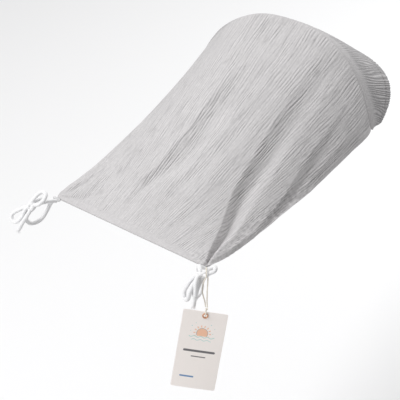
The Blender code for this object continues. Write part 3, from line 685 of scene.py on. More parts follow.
leftRoutes = tieStrands("left", leftKnot, leftCorner)
rightRoutes = tieStrands("right", rightKnot, rightCorner)
leftFirst, leftFirstPath = braidedCord("leftTieOverBar", leftRoutes[0])
leftSecond, leftSecondPath = braidedCord("leftTieUnderBar", leftRoutes[1])
rightFirst, rightFirstPath = braidedCord("rightTieOverBar", rightRoutes[0])
rightSecond, rightSecondPath = braidedCord("rightTieUnderBar", rightRoutes[1])
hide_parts("left_tie_over", "left_tie_upper_loop", "left_tie_long_tail")
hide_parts("left_tie_under", "left_tie_lower_loop", "left_tie_short_tail")
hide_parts("right_tie_over", "right_tie_upper_loop", "right_tie_long_tail")
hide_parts("right_tie_under", "right_tie_lower_loop", "right_tie_short_tail")
leftBow = bowKnot("leftBowKnot", "left_tie_knot", leftKnot, (0.25, -0.75, 0.65), 20.0, (1.0, 1.05))
rightBow = bowKnot("rightBowKnot", "right_tie_knot", rightKnot, (0.45, -0.65, 0.60), -35.0, (0.95, 1.08))
for cord, path, knot, seed in ((leftFirst, leftFirstPath, leftBow, 3), (leftSecond, leftSecondPath, leftBow, 5),
                               (rightFirst, rightFirstPath, rightBow, 7),
                               (rightSecond, rightSecondPath, rightBow, 9)):
    end = frayedEnd(cord.name + "Fray", path, seed)
    print(cord.name, "length", round(float(runLength(path)[-1]), 4))


# Hang tag: twine, knot, eye, card, eyelet and washer

tagForm = {"width": 0.079, "length": 0.154, "thickness": 0.0006, "corner": 0.003, "heading": 34.0,
           "tilt": -14.0, "lean": 9.0, "fromTieKnot": (0.0271, -0.0238, -0.0583), "belowEdge": 0.008,
           "bore": 0.0028, "wall": 0.0005, "flange": 0.0022, "flangeThick": 0.0008, "lip": 0.0011,
           "lipThick": 0.0004, "bevel": 0.0001, "lipRound": 0.0002, "washer": 0.0020, "washerThick": 0.0004,
           "ringSides": 72, "cornerSteps": 8, "edgeSteps": (76, 50, 26, 50), "cardRings": 30, "curl": 0.0011}
# The twine with its own knot and coil. Front and back are steps in metres from the tie's knot, and the away
# values are the directions in which the twine leaves its own knot
tagTwine = {"diameter": 0.0020, "fluff": 0.00015, "sides": 14, "spacing": 0.00045, "plyPitch": 0.0042,
            "knot": 0.0029, "knotAbove": 0.005, "coil": 0.00052, "coilSpacing": 0.0003,
            "ringSlack": 0.0021, "ringFromKnot": 0.0042, "ringWay": (0.63, 0.53, 0.56),
            "frontAway": (-0.55, 0.10, 0.83), "backAway": (0.30, 0.20, 0.93),
            "front": ((0.0198, -0.0147, -0.0359), (0.0151, -0.0127, -0.0264), (0.0118, -0.0107, -0.0159),
                      (0.0113, -0.0057, -0.0024)),
            "back": ((0.0083, 0.0118, -0.0029), (0.0143, 0.0028, -0.0084), (0.0188, -0.0057, -0.0139),
                     (0.0218, -0.0107, -0.0234), (0.0243, -0.0147, -0.0344))}
tagTurn = np.array(Matrix.Rotation(math.radians(tagForm["heading"]), 3, "Z")
                   @ Matrix.Rotation(math.radians(tagForm["tilt"]), 3, "X")
                   @ Matrix.Rotation(math.radians(tagForm["lean"]), 3, "Y"))
eyeletPlace = rightKnot + np.array(tagForm["fromTieKnot"])


def onCard(places):
    # card frame to world: eyelet's centre + turn * place
    return eyeletPlace + np.asarray(places) @ tagTurn.T


def twineRoute(knot):
    # part.py's loop: up in front of the bow, over its upper loop and down behind
    heading = math.radians(tagForm["heading"])
    forward = np.array([math.sin(heading), -math.cos(heading), 0.0])
    upward = np.array([0.0, 0.0, 1.0])
    outward = unitRows(np.array(tagTwine["ringWay"]))
    ring = rightKnot + outward * (tieCord["knotRadius"] + tagTwine["ringFromKnot"])
    radius = tieCord["diameter"] + tagTwine["diameter"] / 2 + tagTwine["ringSlack"]
    turns = [math.radians(angle) for angle in range(0, 181, 30)]
    loop = [ring + radius * (math.cos(turn) * forward + math.sin(turn) * upward) for turn in turns]
    clear = tagTwine["knot"] + 3 * sewing["gap"]
    front = [knot + unitRows(np.array(tagTwine["frontAway"])) * clear, *nearKnot(rightKnot, tagTwine["front"])]
    back = [*nearKnot(rightKnot, tagTwine["back"]), knot + unitRows(np.array(tagTwine["backAway"])) * clear]
    return front + loop + back


def eyeRoute(front, back):
    # from the knot down through the eyelet and up again behind the card
    twineWide, gap = tagTwine["diameter"], sewing["gap"]
    reach = twineWide / 2 + 2 * gap
    low = tagForm["bore"] - twineWide / 2 - 6 * gap
    neck = tagForm["belowEdge"] + tagTwine["knotAbove"] - 1.5 * twineWide
    shoulder = tagForm["bore"] + tagForm["wall"] + tagForm["flange"] / 3
    edge = tagForm["belowEdge"]
    return onCard([
        (0.0, -twineWide, neck), (0.0, front - reach, edge), (0.0, front - reach, shoulder),
        (0.0, front, low + 2 * gap), (0.0, 0.0, low), (0.0, back, low + 2 * gap),
        (0.0, back + reach, shoulder), (0.0, back + reach, edge), (0.0, twineWide, neck)])


def plyRelief(turn, run):
    # two plies laid side by side and twisted: |cos(a - 2 pi s / pitch)|
    lay = np.abs(np.cos(turn - 2 * math.pi * run / tagTwine["plyPitch"]))
    return tagTwine["diameter"] * (0.13 * lay - 0.10)


def twineTube(name, path, body):
    # the two plies carried along a smoothed route
    radius = tagTwine["diameter"] / 2 + tagTwine["fluff"]
    cord = creasedTube(name, path, radius, tagTwine["sides"], plyRelief, twine)
    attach(cord, body)
    return cord


def roundRing(name, node, profile):
    # closed profile of radius and depth, turned about the card's own y axis
    profile = np.array(profile)
    sides = tagForm["ringSides"]
    turn = np.arange(sides) * 2 * math.pi / sides
    points = np.stack([profile[None, :, 0] * np.cos(turn)[:, None],
                       np.broadcast_to(profile[None, :, 1], (sides, len(profile))),
                       profile[None, :, 0] * np.sin(turn)[:, None]], -1)
    index = np.arange(sides * len(profile)).reshape(sides, len(profile))
    after = np.roll(index, -1, axis=0)
    faces = np.stack([index, np.roll(index, -1, axis=1), np.roll(after, -1, axis=1), after], -1).reshape(-1, 4)
    ring = putMesh(name, onCard(points.reshape(-1, 3)), [faces], copper, sharp=50.0)
    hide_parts(node)
    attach(ring, "tag")


def roundedCorner(centre, radius, first, last, steps):
    # points of an arc in the profile's plane
    turns = np.radians(np.linspace(first, last, steps))
    return [(centre[0] + radius * math.cos(turn), centre[1] + radius * math.sin(turn)) for turn in turns]


def cardOutline():
    # rounded rectangle round the eyelet's centre; its top edge has closer points than the rest
    half, corner = tagForm["width"] / 2, tagForm["corner"]
    top = tagForm["belowEdge"]
    low = top - tagForm["length"]
    places = ((1, 1, top, 0), (-1, 1, top, 90), (-1, -1, low, 180), (1, -1, low, 270))
    arcs = [np.array(roundedCorner((sx * (half - corner), z - sz * corner), corner, first, first + 90,
                                   tagForm["cornerSteps"])) for sx, sz, z, first in places]
    pieces = []
    for step in range(4):
        start, stop = arcs[step][-1], arcs[(step + 1) % 4][0]
        between = np.linspace(start, stop, tagForm["edgeSteps"][step] + 1)[1:-1]
        pieces += [arcs[step], between]
    return np.concatenate(pieces)


def buildCard(paper):
    # point = hole edge + (outline - hole edge) s^1.25 on both faces; the lower end curls back
    outline = cardOutline()
    count, rings = len(outline), tagForm["cardRings"]
    away = np.linalg.norm(outline, axis=1, keepdims=True)
    hole = outline / away * (tagForm["bore"] + tagForm["wall"] + sewing["gap"])
    s = np.linspace(0.0, 1.0, rings)[:, None, None] ** 1.25
    flat = hole + (outline - hole) * s
    half = tagForm["thickness"] / 2
    lowShare = np.clip((tagForm["belowEdge"] - 0.02 - flat[..., 1]) / tagForm["length"], 0.0, 1.0)
    bend = tagForm["curl"] * lowShare ** 1.3 * ((flat[..., 0] / tagForm["width"] * 2) ** 2 - 0.35)
    front = np.stack([flat[..., 0], bend - half, flat[..., 1]], -1)
    back = np.stack([flat[..., 0], bend + half, flat[..., 1]], -1)
    points = np.concatenate([front, back[::-1]]).reshape(-1, 3)
    index = np.arange(2 * rings * count).reshape(2 * rings, count)
    loop = np.concatenate([index, index[:1]])
    after = np.roll(loop, -1, axis=1)
    faces = np.stack([loop[:-1], loop[1:], after[1:], after[:-1]], -1).reshape(-1, 4)
    place = np.concatenate([flat, flat[::-1]]).reshape(-1, 2)
    place = place + np.array([tagForm["width"] / 2, tagForm["length"] - tagForm["belowEdge"]])
    side = np.repeat([0.0, 1.0], rings * count)
    card = putMesh("swingTagCard", onCard(points), [faces], paper, place[faces.reshape(-1)], side, sharp=40.0)
    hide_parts("tag_card")
    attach(card, "tag")


# Places from the card's lower left corner: the sun's middle, two heights at which it ends, each wave's
# height, rise, pitch, ends and half width, each bar's middle, half length, half width and ink, and each dot
cardPrint = {"paper": (0.915, 0.855, 0.820), "fibreShade": 0.955, "stain": (0.875, 0.84, 0.80),
             "fibres": 1600.0, "clouds": 60.0, "fibreBump": (0.25, 0.00008), "cloudBump": (0.15, 0.0004),
             "sun": (0.86, 0.50, 0.33), "mint": (0.42, 0.66, 0.62), "ink": (0.10, 0.10, 0.11),
             "blue": (0.10, 0.24, 0.45), "edge": 0.00035, "sunMiddle": (0.0395, 0.1110),
             "horizon": (0.1050, 0.1056), "sunRadius": 0.0096, "rimRadius": 0.0098, "rimWide": 0.0003,
             "rays": 14.0, "rayMiddle": 0.0136, "rayReach": 0.0019,
             "waves": ((0.1035, 0.0011, 0.0118, 0.017, 0.062, 0.00075),
                       (0.0975, 0.0011, 0.0118, 0.022, 0.057, 0.00060)),
             "bars": ((0.0395, 0.0750, 0.0260, 0.0022, "ink"), (0.0395, 0.0640, 0.0120, 0.0010, "ink"),
                      (0.0250, 0.0230, 0.0110, 0.0016, "blue")),
             "dots": ((0.020, 0.124, 0.0009), (0.026, 0.130, 0.0007), (0.053, 0.129, 0.0009),
                      (0.060, 0.122, 0.0007), (0.058, 0.112, 0.0008), (0.019, 0.114, 0.0007))}


def cardMaterial():
    # uncoated card; a generic print of a sun over two waves, dots, and three plain bars, in card metres
    material, tree, shader = newMaterial("creamCard", 0.62, sheen=0.0)
    place = addNode(tree, "ShaderNodeSeparateXYZ", {0: flatPlace(tree)})
    x, z = place.outputs[0], place.outputs[1]
    fibre = noiseOf(tree, flatPlace(tree), cardPrint["fibres"], 4.0)
    cloud = noiseOf(tree, flatPlace(tree), cardPrint["clouds"], 3.0)
    fibreColour = tuple(cardPrint["fibreShade"] * c for c in cardPrint["paper"])
    colour = mixColours(tree, spread(tree, fibre, 0.3, 0.7), fibreColour, cardPrint["paper"])
    toned = mixColours(tree, spread(tree, cloud, 0.3, 0.7, 0.0, 0.25), colour, cardPrint["stain"])

    def gap(a, b):
        return sumNode(tree, "SUBTRACT", a, b)

    def size(a):
        return sumNode(tree, "ABSOLUTE", a)

    def inside(distance):
        # 1 where the distance is below 0, over a soft edge
        return spread(tree, distance, -cardPrint["edge"], cardPrint["edge"], 1.0, 0.0)

    def length(a, b):
        return sumNode(tree, "SQRT", sumNode(tree, "ADD", timesNode(tree, a, a), timesNode(tree, b, b)))

    def bar(middleX, middleZ, halfLength, radius):
        # rounded bar: distance to a level line
        along = sumNode(tree, "MAXIMUM", gap(size(gap(x, middleX)), halfLength), 0.0)
        return inside(gap(length(along, gap(z, middleZ)), radius))

    def wave(baseZ, height, pitch, start, stop, radius):
        # |z - base - height sin(2 pi x / pitch)| below radius between two ends
        swing = sumNode(tree, "SINE", timesNode(tree, x, 2 * math.pi / pitch))
        line = sumNode(tree, "MULTIPLY_ADD", swing, height, baseZ)
        band = inside(gap(size(gap(z, line)), radius))
        ends = size(gap(x, (start + stop) / 2))
        return timesNode(tree, band, inside(gap(ends, (stop - start) / 2)))

    def disc(middleX, middleZ, radius):
        return inside(gap(length(gap(x, middleX), gap(z, middleZ)), radius))

    sunX, sunZ = cardPrint["sunMiddle"]
    away = length(gap(x, sunX), gap(z, sunZ))
    heading = sumNode(tree, "ARCTAN2", gap(z, sunZ), gap(x, sunX))
    spokes = sumNode(tree, "COSINE", timesNode(tree, heading, cardPrint["rays"]))
    rays = timesNode(tree, spread(tree, spokes, 0.35, 0.6),
                     inside(gap(size(gap(away, cardPrint["rayMiddle"])), cardPrint["rayReach"])))
    above = spread(tree, z, *cardPrint["horizon"])
    rays = timesNode(tree, rays, above)
    sun = timesNode(tree, inside(gap(away, cardPrint["sunRadius"])), above)
    rim = timesNode(tree, inside(gap(size(gap(away, cardPrint["rimRadius"])), cardPrint["rimWide"])), above)
    front = gap(1.0, creaseOf(tree))
    grain = spread(tree, fibre, 0.25, 0.55, 0.72, 1.0)
    ink = timesNode(tree, front, grain)
    layers = [(sun, "sun"), (rays, "sun"), (rim, "ink")]
    layers += [(wave(*form), "mint") for form in cardPrint["waves"]]
    layers += [(bar(*form[:4]), form[4]) for form in cardPrint["bars"]]
    layers += [(disc(*form), "mint") for form in cardPrint["dots"]]
    for share, paint in layers:
        toned = mixColours(tree, timesNode(tree, share, ink), toned, cardPrint[paint])
    tree.links.new(toned, shader.inputs["Base Color"])
    tree.links.new(spread(tree, fibre, 0.3, 0.7, 0.55, 0.72), shader.inputs["Roughness"])
    joinBump(tree, shader, [(fibre, *cardPrint["fibreBump"]), (cloud, *cardPrint["cloudBump"])])
    return material


def buildTag():
    # eyelet in front, card, washer, the eyelet's lip behind, then the twine through the bore
    bore, thick, bevel, lipRound = (tagForm[key] for key in ("bore", "flangeThick", "bevel", "lipRound"))
    face = tagForm["thickness"] / 2 + sewing["gap"]
    barrel = bore + tagForm["wall"]
    flange = barrel + tagForm["flange"]
    front = -face - thick
    washerBack = face + tagForm["washerThick"]
    lipFront = washerBack + sewing["gap"]
    back = lipFront + tagForm["lipThick"]
    lipOut = barrel + tagForm["lip"]
    middle, low = (bore + flange) / 2, -face - 0.25 * thick
    crown = [(middle + (r - middle) * (flange - bore) / 2, low + (y + face + 0.25 * thick) * 0.75 * thick)
             for r, y in roundedCorner((middle, low), 1.0, 180, 360, 15)]
    lip = roundedCorner((lipOut - lipRound, back - lipRound), lipRound, 0, 90, 4)
    roundRing("copperEyelet", "tag_eyelet",
              [(bore, back - bevel), *crown, (flange, -face), (barrel, -face), (barrel, lipFront),
               (lipOut, lipFront), *lip, (bore + bevel, back)])
    washerIn, washerOut = barrel + sewing["gap"], barrel + tagForm["washer"]
    roundRing("copperWasher", "tag_washer",
              [(washerIn, washerBack), (washerIn, face), (washerOut, face), (washerOut, washerBack - bevel),
               (washerOut - bevel, washerBack)])
    buildCard(cardMaterial())
    knot = onCard([(0.0, 0.0, tagForm["belowEdge"] + tagTwine["knotAbove"])])[0]
    path = smoothRoute(twineRoute(knot), tagTwine["spacing"])
    loop = twineTube("tagTwineLoop", path, "tag_string")
    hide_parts("tag_twine")
    eyePath = smoothRoute(eyeRoute(front, back), tagTwine["spacing"])
    eye = twineTube("tagTwineEye", eyePath, "tag_knot")
    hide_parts("tag_twine_eye")
    coil = trefoil()[:, [0, 2, 1]] * tagTwine["coil"]
    small = twineTube("tagTwineKnot", smoothRoute(knot + coil @ tagTurn.T, tagTwine["coilSpacing"]), "tag_knot")
    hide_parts("tag_twine_knot")
    print("twine length", round(float(runLength(path)[-1]), 4), "eye", round(float(runLength(eyePath)[-1]), 4))


buildTag()
print("tag made")


# The shade's cloth

shadeCloth = {"flatWidth": 0.45, "flatLength": 0.59, "acrossCells": 460, "alongCells": 150,
              "ribPitch": 0.0053, "ribDepth": 0.00034, "creaseWidth": 0.013, "creaseRun": 0.13,
              "creaseDepth": 0.00022, "fineRidge": 0.0030, "fineRun": 0.016, "fineDepth": 0.00012,
              "wander": 0.0024, "wanderSize": (0.050, 0.110), "phaseSize": (0.013, 0.055),
              "patchSize": (0.020, 0.060), "pleat": 0.028, "pleatRun": 0.45, "pleatDepth": 0.0009,
              "mottle": 0.0013, "mottleWide": 0.0075, "mottleRun": 0.0085, "mottleShade": 0.7,
              "cornerWide": 0.34, "cornerRun": 0.6, "steepSlope": 0.5, "frontHemRise": 0.0004,
              "sideHemRise": 0.0003, "seamSink": 0.0005, "stitchSink": 0.0004, "stitchWide": 0.0012,
              "pucker": 0.00035, "puckerPitch": 0.0045, "puckerReach": 0.008, "crispEdge": 62.0}

# Folds that the photo shows, each along a line of the cloth: shares along and across, height in
# millimetres (down is negative) and the reach of its left and right slopes in millimetres
shadeFolds = {
    "corner": {"along": (0.0, 0.06, 0.105, 0.16, 0.205, 0.268, 0.338, 0.427, 0.492, 0.552, 0.652, 0.763, 0.95),
               "across": (0.990, 0.963, 0.936, 0.912, 0.897, 0.864, 0.830, 0.806, 0.788, 0.772, 0.750, 0.735, 0.715),
               "height": (-4, -11, -15.5, -17.5, -17, -16, -15, -13.5, -12, -10.5, -8, -5, -1.5),
               "left": (2, 3.2, 4.6, 7.5, 11, 15, 19, 22, 22, 22, 21, 20, 19),
               "right": (2, 3, 5, 7, 9, 11, 13, 15, 16, 17, 18, 18, 18)},
    "cornerRoll": {"along": (0.02, 0.06, 0.11, 0.17, 0.24, 0.32, 0.42),
                   "across": (0.992, 0.975, 0.953, 0.932, 0.915, 0.890, 0.868),
                   "height": (0, 3.0, 4.5, 4.5, 3.5, 2.0, 0), "left": (2, 3, 4, 5, 6, 8, 9),
                   "right": (3, 4, 5, 7, 9, 12, 14)},
    "side": {"along": (0.24, 0.34, 0.403, 0.458, 0.503, 0.542, 0.603, 0.675, 0.753, 0.93),
             "across": (0.994, 0.986, 0.978, 0.968, 0.956, 0.943, 0.925, 0.910, 0.897, 0.872),
             "height": (0, -5, -9, -11, -12, -12, -10.5, -8, -5, 0),
             "left": (4, 5, 5.5, 6, 7, 8, 9.5, 11, 12, 12), "right": (8, 10, 12, 14, 17, 21, 28, 38, 50, 60)},
    "hemFall": {"along": (0.40, 0.50, 0.58, 0.68, 0.78, 0.88, 0.97),
                "across": (1.01, 1.01, 1.01, 1.01, 1.01, 1.01, 1.01), "height": (0, -2, -5, -8, -9, -6.5, 0),
                "left": (8, 10, 14, 20, 26, 28, 28), "right": (9, 9, 9, 9, 9, 9, 9)},
    "upperLeft": {"along": (0.12, 0.217, 0.283, 0.338, 0.400, 0.495, 0.585, 0.665, 0.80),
                  "across": (0.38, 0.415, 0.450, 0.465, 0.470, 0.475, 0.480, 0.485, 0.490),
                  "height": (0, -4.5, -8.5, -11.0, -12.0, -11.5, -9.0, -6.0, 0),
                  "left": (8, 13, 17, 19, 21, 23, 24, 25, 25), "right": (10, 14, 17, 20, 22, 24, 26, 26, 26)},
    "underHem": {"along": (0.03, 0.08, 0.15, 0.22, 0.29, 0.36),
                 "across": (1.012, 1.014, 1.016, 1.014, 1.012, 1.010),
                 "height": (0, -9, -14, -14, -10, 0), "left": (5, 7, 8.5, 9, 8.5, 8), "right": (9, 9, 9, 9, 9, 9)},
    "far": {"along": (0.05, 0.113, 0.288, 0.443, 0.62, 0.80), "across": (0.14, 0.182, 0.278, 0.352, 0.470, 0.58),
            "height": (-0.5, -1.8, -2.4, -2.2, -1.2, 0), "left": (10, 14, 17, 19, 21, 22),
            "right": (10, 16, 20, 22, 24, 24)},
    "middle": {"along": (0.08, 0.20, 0.35, 0.50, 0.66, 0.82), "across": (0.545, 0.560, 0.575, 0.590, 0.600, 0.605),
               "height": (0, -1.6, -2.6, -2.8, -1.6, 0), "left": (10, 12, 13, 13, 13, 13),
               "right": (12, 14, 15, 15, 15, 15)},
    "fanLow": {"along": (0.004, 0.02, 0.04, 0.07, 0.12, 0.2), "across": (0.01, 0.05, 0.11, 0.17, 0.25, 0.34),
               "height": (0, -2.2, -2.6, -2.0, -1.2, 0), "left": (2, 4, 6, 9, 12, 14),
               "right": (2, 4, 6, 9, 12, 14)},
    "fanHigh": {"along": (0.01, 0.04, 0.09, 0.16, 0.26, 0.40), "across": (0.008, 0.030, 0.058, 0.085, 0.115, 0.15),
                "height": (0, -2.0, -2.6, -2.0, -1.0, 0), "left": (2, 4, 6, 8, 10, 12),
                "right": (2, 4, 6, 8, 10, 12)},
}


def foldHeights(across, along):
    # each fold: height(along) times (1 - (d / left)^2)^1.3 left of its line and exp(-(d / right)^2) right of it
    whole = 2 * span["halfSpan"] + 0.25 * along
    total = np.zeros(np.broadcast_shapes(across.shape, along.shape))
    for fold in shadeFolds.values():
        at = {key: np.interp(along, fold["along"], fold[key]) for key in ("across", "height", "left", "right")}
        d = (across - at["across"]) * whole * 1000.0
        before = (along >= fold["along"][0]) & (along <= fold["along"][-1])
        steep = np.clip(1.0 - (d / (1.55 * at["left"])) ** 2, 0.0, 1.0) ** 1.3
        gentle = np.exp(-(d / at["right"]) ** 2)
        total += np.where(before, at["height"], 0.0) * np.where(d < 0, steep, gentle)
    return total / 1000.0


def smoothShade(across, along):
    # straight threads from front edge to seam, sagging by 4s(1-s)(1 - bias(2s-1))
    front = frontLine(across)[:, None, :]
    seam = seamLine(across)[:, None, :]
    share = along[None, :, None]
    sag = span["leftSag"] + (span["rightSag"] - span["leftSag"]) * across[:, None, None] ** 2
    shape = 4.0 * share * (1.0 - share) * (1.0 - span["sagBias"] * (2.0 * share - 1.0))
    return front * (1.0 - share) + seam * share - np.array([0.0, 0.0, 1.0]) * sag * shape


# How far the hems stand out from the straight threads, as the photo's outline shows, in millimetres
hemReach = {
    "right": {"along": (0.0, 0.010, 0.03, 0.08, 0.15, 0.22, 0.30, 0.36, 0.45, 0.53, 0.62, 0.72, 0.80, 0.87,
                        0.94, 0.98, 1.0),
              "reach": (0.0, 2.5, 3.6, -0.2, -1.0, -1.2, -1.1, -2.9, -3.0, 0.2, 4.6, 6.8, 7.6, 6.7,
                        5.1, 2.5, 0.0)},
    "left": {"along": (0.0, 0.008, 0.03, 0.08, 0.14, 0.25, 0.45, 0.7),
             "reach": (0.0, 2.5, 4.6, 5.0, 3.2, 1.2, 1.0, 0.0)},
    "direction": (0.82, 0.04, -0.56)}


def hemShift(across, along):
    # reach(along) times a share that is 1 at the hem and 0 in the middle of the cloth
    sides = [np.interp(along, hemReach[side]["along"], hemReach[side]["reach"]) for side in ("right", "left")]
    shift = sides[0] * easeStep(across, 0.62, 1.0) ** 1.4 - sides[1] * (1.0 - easeStep(across, 0.0, 0.34)) ** 1.4
    return shift[..., None] / 1000.0 * np.array(hemReach["direction"])


def crinkleHeights(u, v, strength):
    # ribs: cos(2 pi (u / pitch + noise)), stronger and weaker in patches, with thin grooves between them,
    # then longer creases where exp(-(noise / 0.09)^2) is high, and fine waves; the second value is painted shade,
    # darker in the grooves and creases than on the ribs
    look = shadeCloth
    wanderU, wanderV = look["wanderSize"]
    phaseU, phaseV = look["phaseSize"]
    patchU, patchV = look["patchSize"]
    bent = u + look["wander"] * clothNoise(u / wanderU, v / wanderV, 11)
    height, paintedShade = 0.0, 0.0
    for pitch, seed in ((look["ribPitch"], 13), (0.79 * look["ribPitch"], 17)):
        phase = bent / pitch + 0.55 * clothNoise(u / phaseU, v / phaseV, seed)
        shadedGroove = np.exp(-((1.0 + np.cos(2 * math.pi * phase)) / 0.55) ** 2)
        patch = np.clip(0.6 + 0.9 * clothNoise(u / patchU, v / patchV, seed + 1), 0.05, 1.3)
        height = height + look["ribDepth"] * patch * (0.5 * np.cos(2 * math.pi * phase) - 0.6 * (shadedGroove - 0.29))
        # painted shade: darker in the grooves, lighter on the ribs
        paintedShade = paintedShade + patch * (0.20 * np.cos(2 * math.pi * phase) - 0.70 * (shadedGroove - 0.29))
    crease = np.exp(-(clothNoise(bent / look["creaseWidth"], v / look["creaseRun"], 21) / 0.09) ** 2)
    fine = clothNoise(u / look["fineRidge"], v / look["fineRun"], 31)
    height = height - look["creaseDepth"] * crease + look["fineDepth"] * fine
    paintedShade = paintedShade - 0.45 * crease + 0.15 * fine
    return height * strength, 0.68 + paintedShade * strength


def pleatHeights(u, v):
    # broad soft waves that run the cloth's length
    return shadeCloth["pleatDepth"] * clothNoise(u / shadeCloth["pleat"], v / shadeCloth["pleatRun"], 51)


def shadeShares():
    # closer lines at the front hem and beside the seam
    across = np.linspace(0.0, 1.0, shadeCloth["acrossCells"] + 1)
    t = np.linspace(0.0, 1.0, shadeCloth["alongCells"] + 1)
    weight = 0.42 + easeStep(t, 0.0, 0.22) * 0.75 - easeStep(t, 0.92, 1.0) * 0.4
    along = np.concatenate([[0.0], np.cumsum((weight[1:] + weight[:-1]) / 2)])
    return across, along / along[-1]


def bandNormalsAt(shares):
    # normals beside the seam on an even row of shares, read between them
    even = np.linspace(bandForm["endShare"], 1.0 - bandForm["endShare"], 241)
    normals = gridNormals(bandSurface(even, np.linspace(0.0, 1.0, 7)))[:, 0]
    return unitRows(np.stack([np.interp(shares, even, normals[:, axis]) for axis in range(3)], -1))


def mitre(own, other):
    # the direction in which both cloths end on one slanting face
    middle = unitRows(own + other)
    return middle / np.sum(middle * own, axis=-1, keepdims=True)


def bandSurface(shares, steps):
    # straight from seam to hem, bowed outwards by 4s(1-s) bulge sin(pi share)
    seam = seamLine(shares)[:, None, :]
    hem = hemLine(shares)[:, None, :]
    taper = 0.45 + 0.55 * easeStep(np.minimum(shares, 1.0 - shares), bandForm["endShare"], 0.05)
    hem = seam + (hem - seam) * taper[:, None, None]
    share = np.asarray(steps)[None, :, None]
    centre = np.array([0.0, 0.0, -bandForm["bulgeCentreDrop"]])
    outward = unitRows(hemLine(shares) * np.array([1.0, 0.0, 1.0]) - centre)
    bow = 4.0 * share * (1.0 - share) * bandForm["bulge"] * np.sin(math.pi * shares)[:, None, None]
    start = unitRows(hem - seam) * sewing["gap"]
    return seam + start + (hem - seam - start) * share + outward[:, None, :] * bow


def rimOf(grid):
    # the rim of a grid of rows and columns, once round: first column, last row, last column, first row
    return np.concatenate([grid[:, 0], grid[-1, 1:], grid[-2::-1, -1], grid[0, -2:0:-1]])


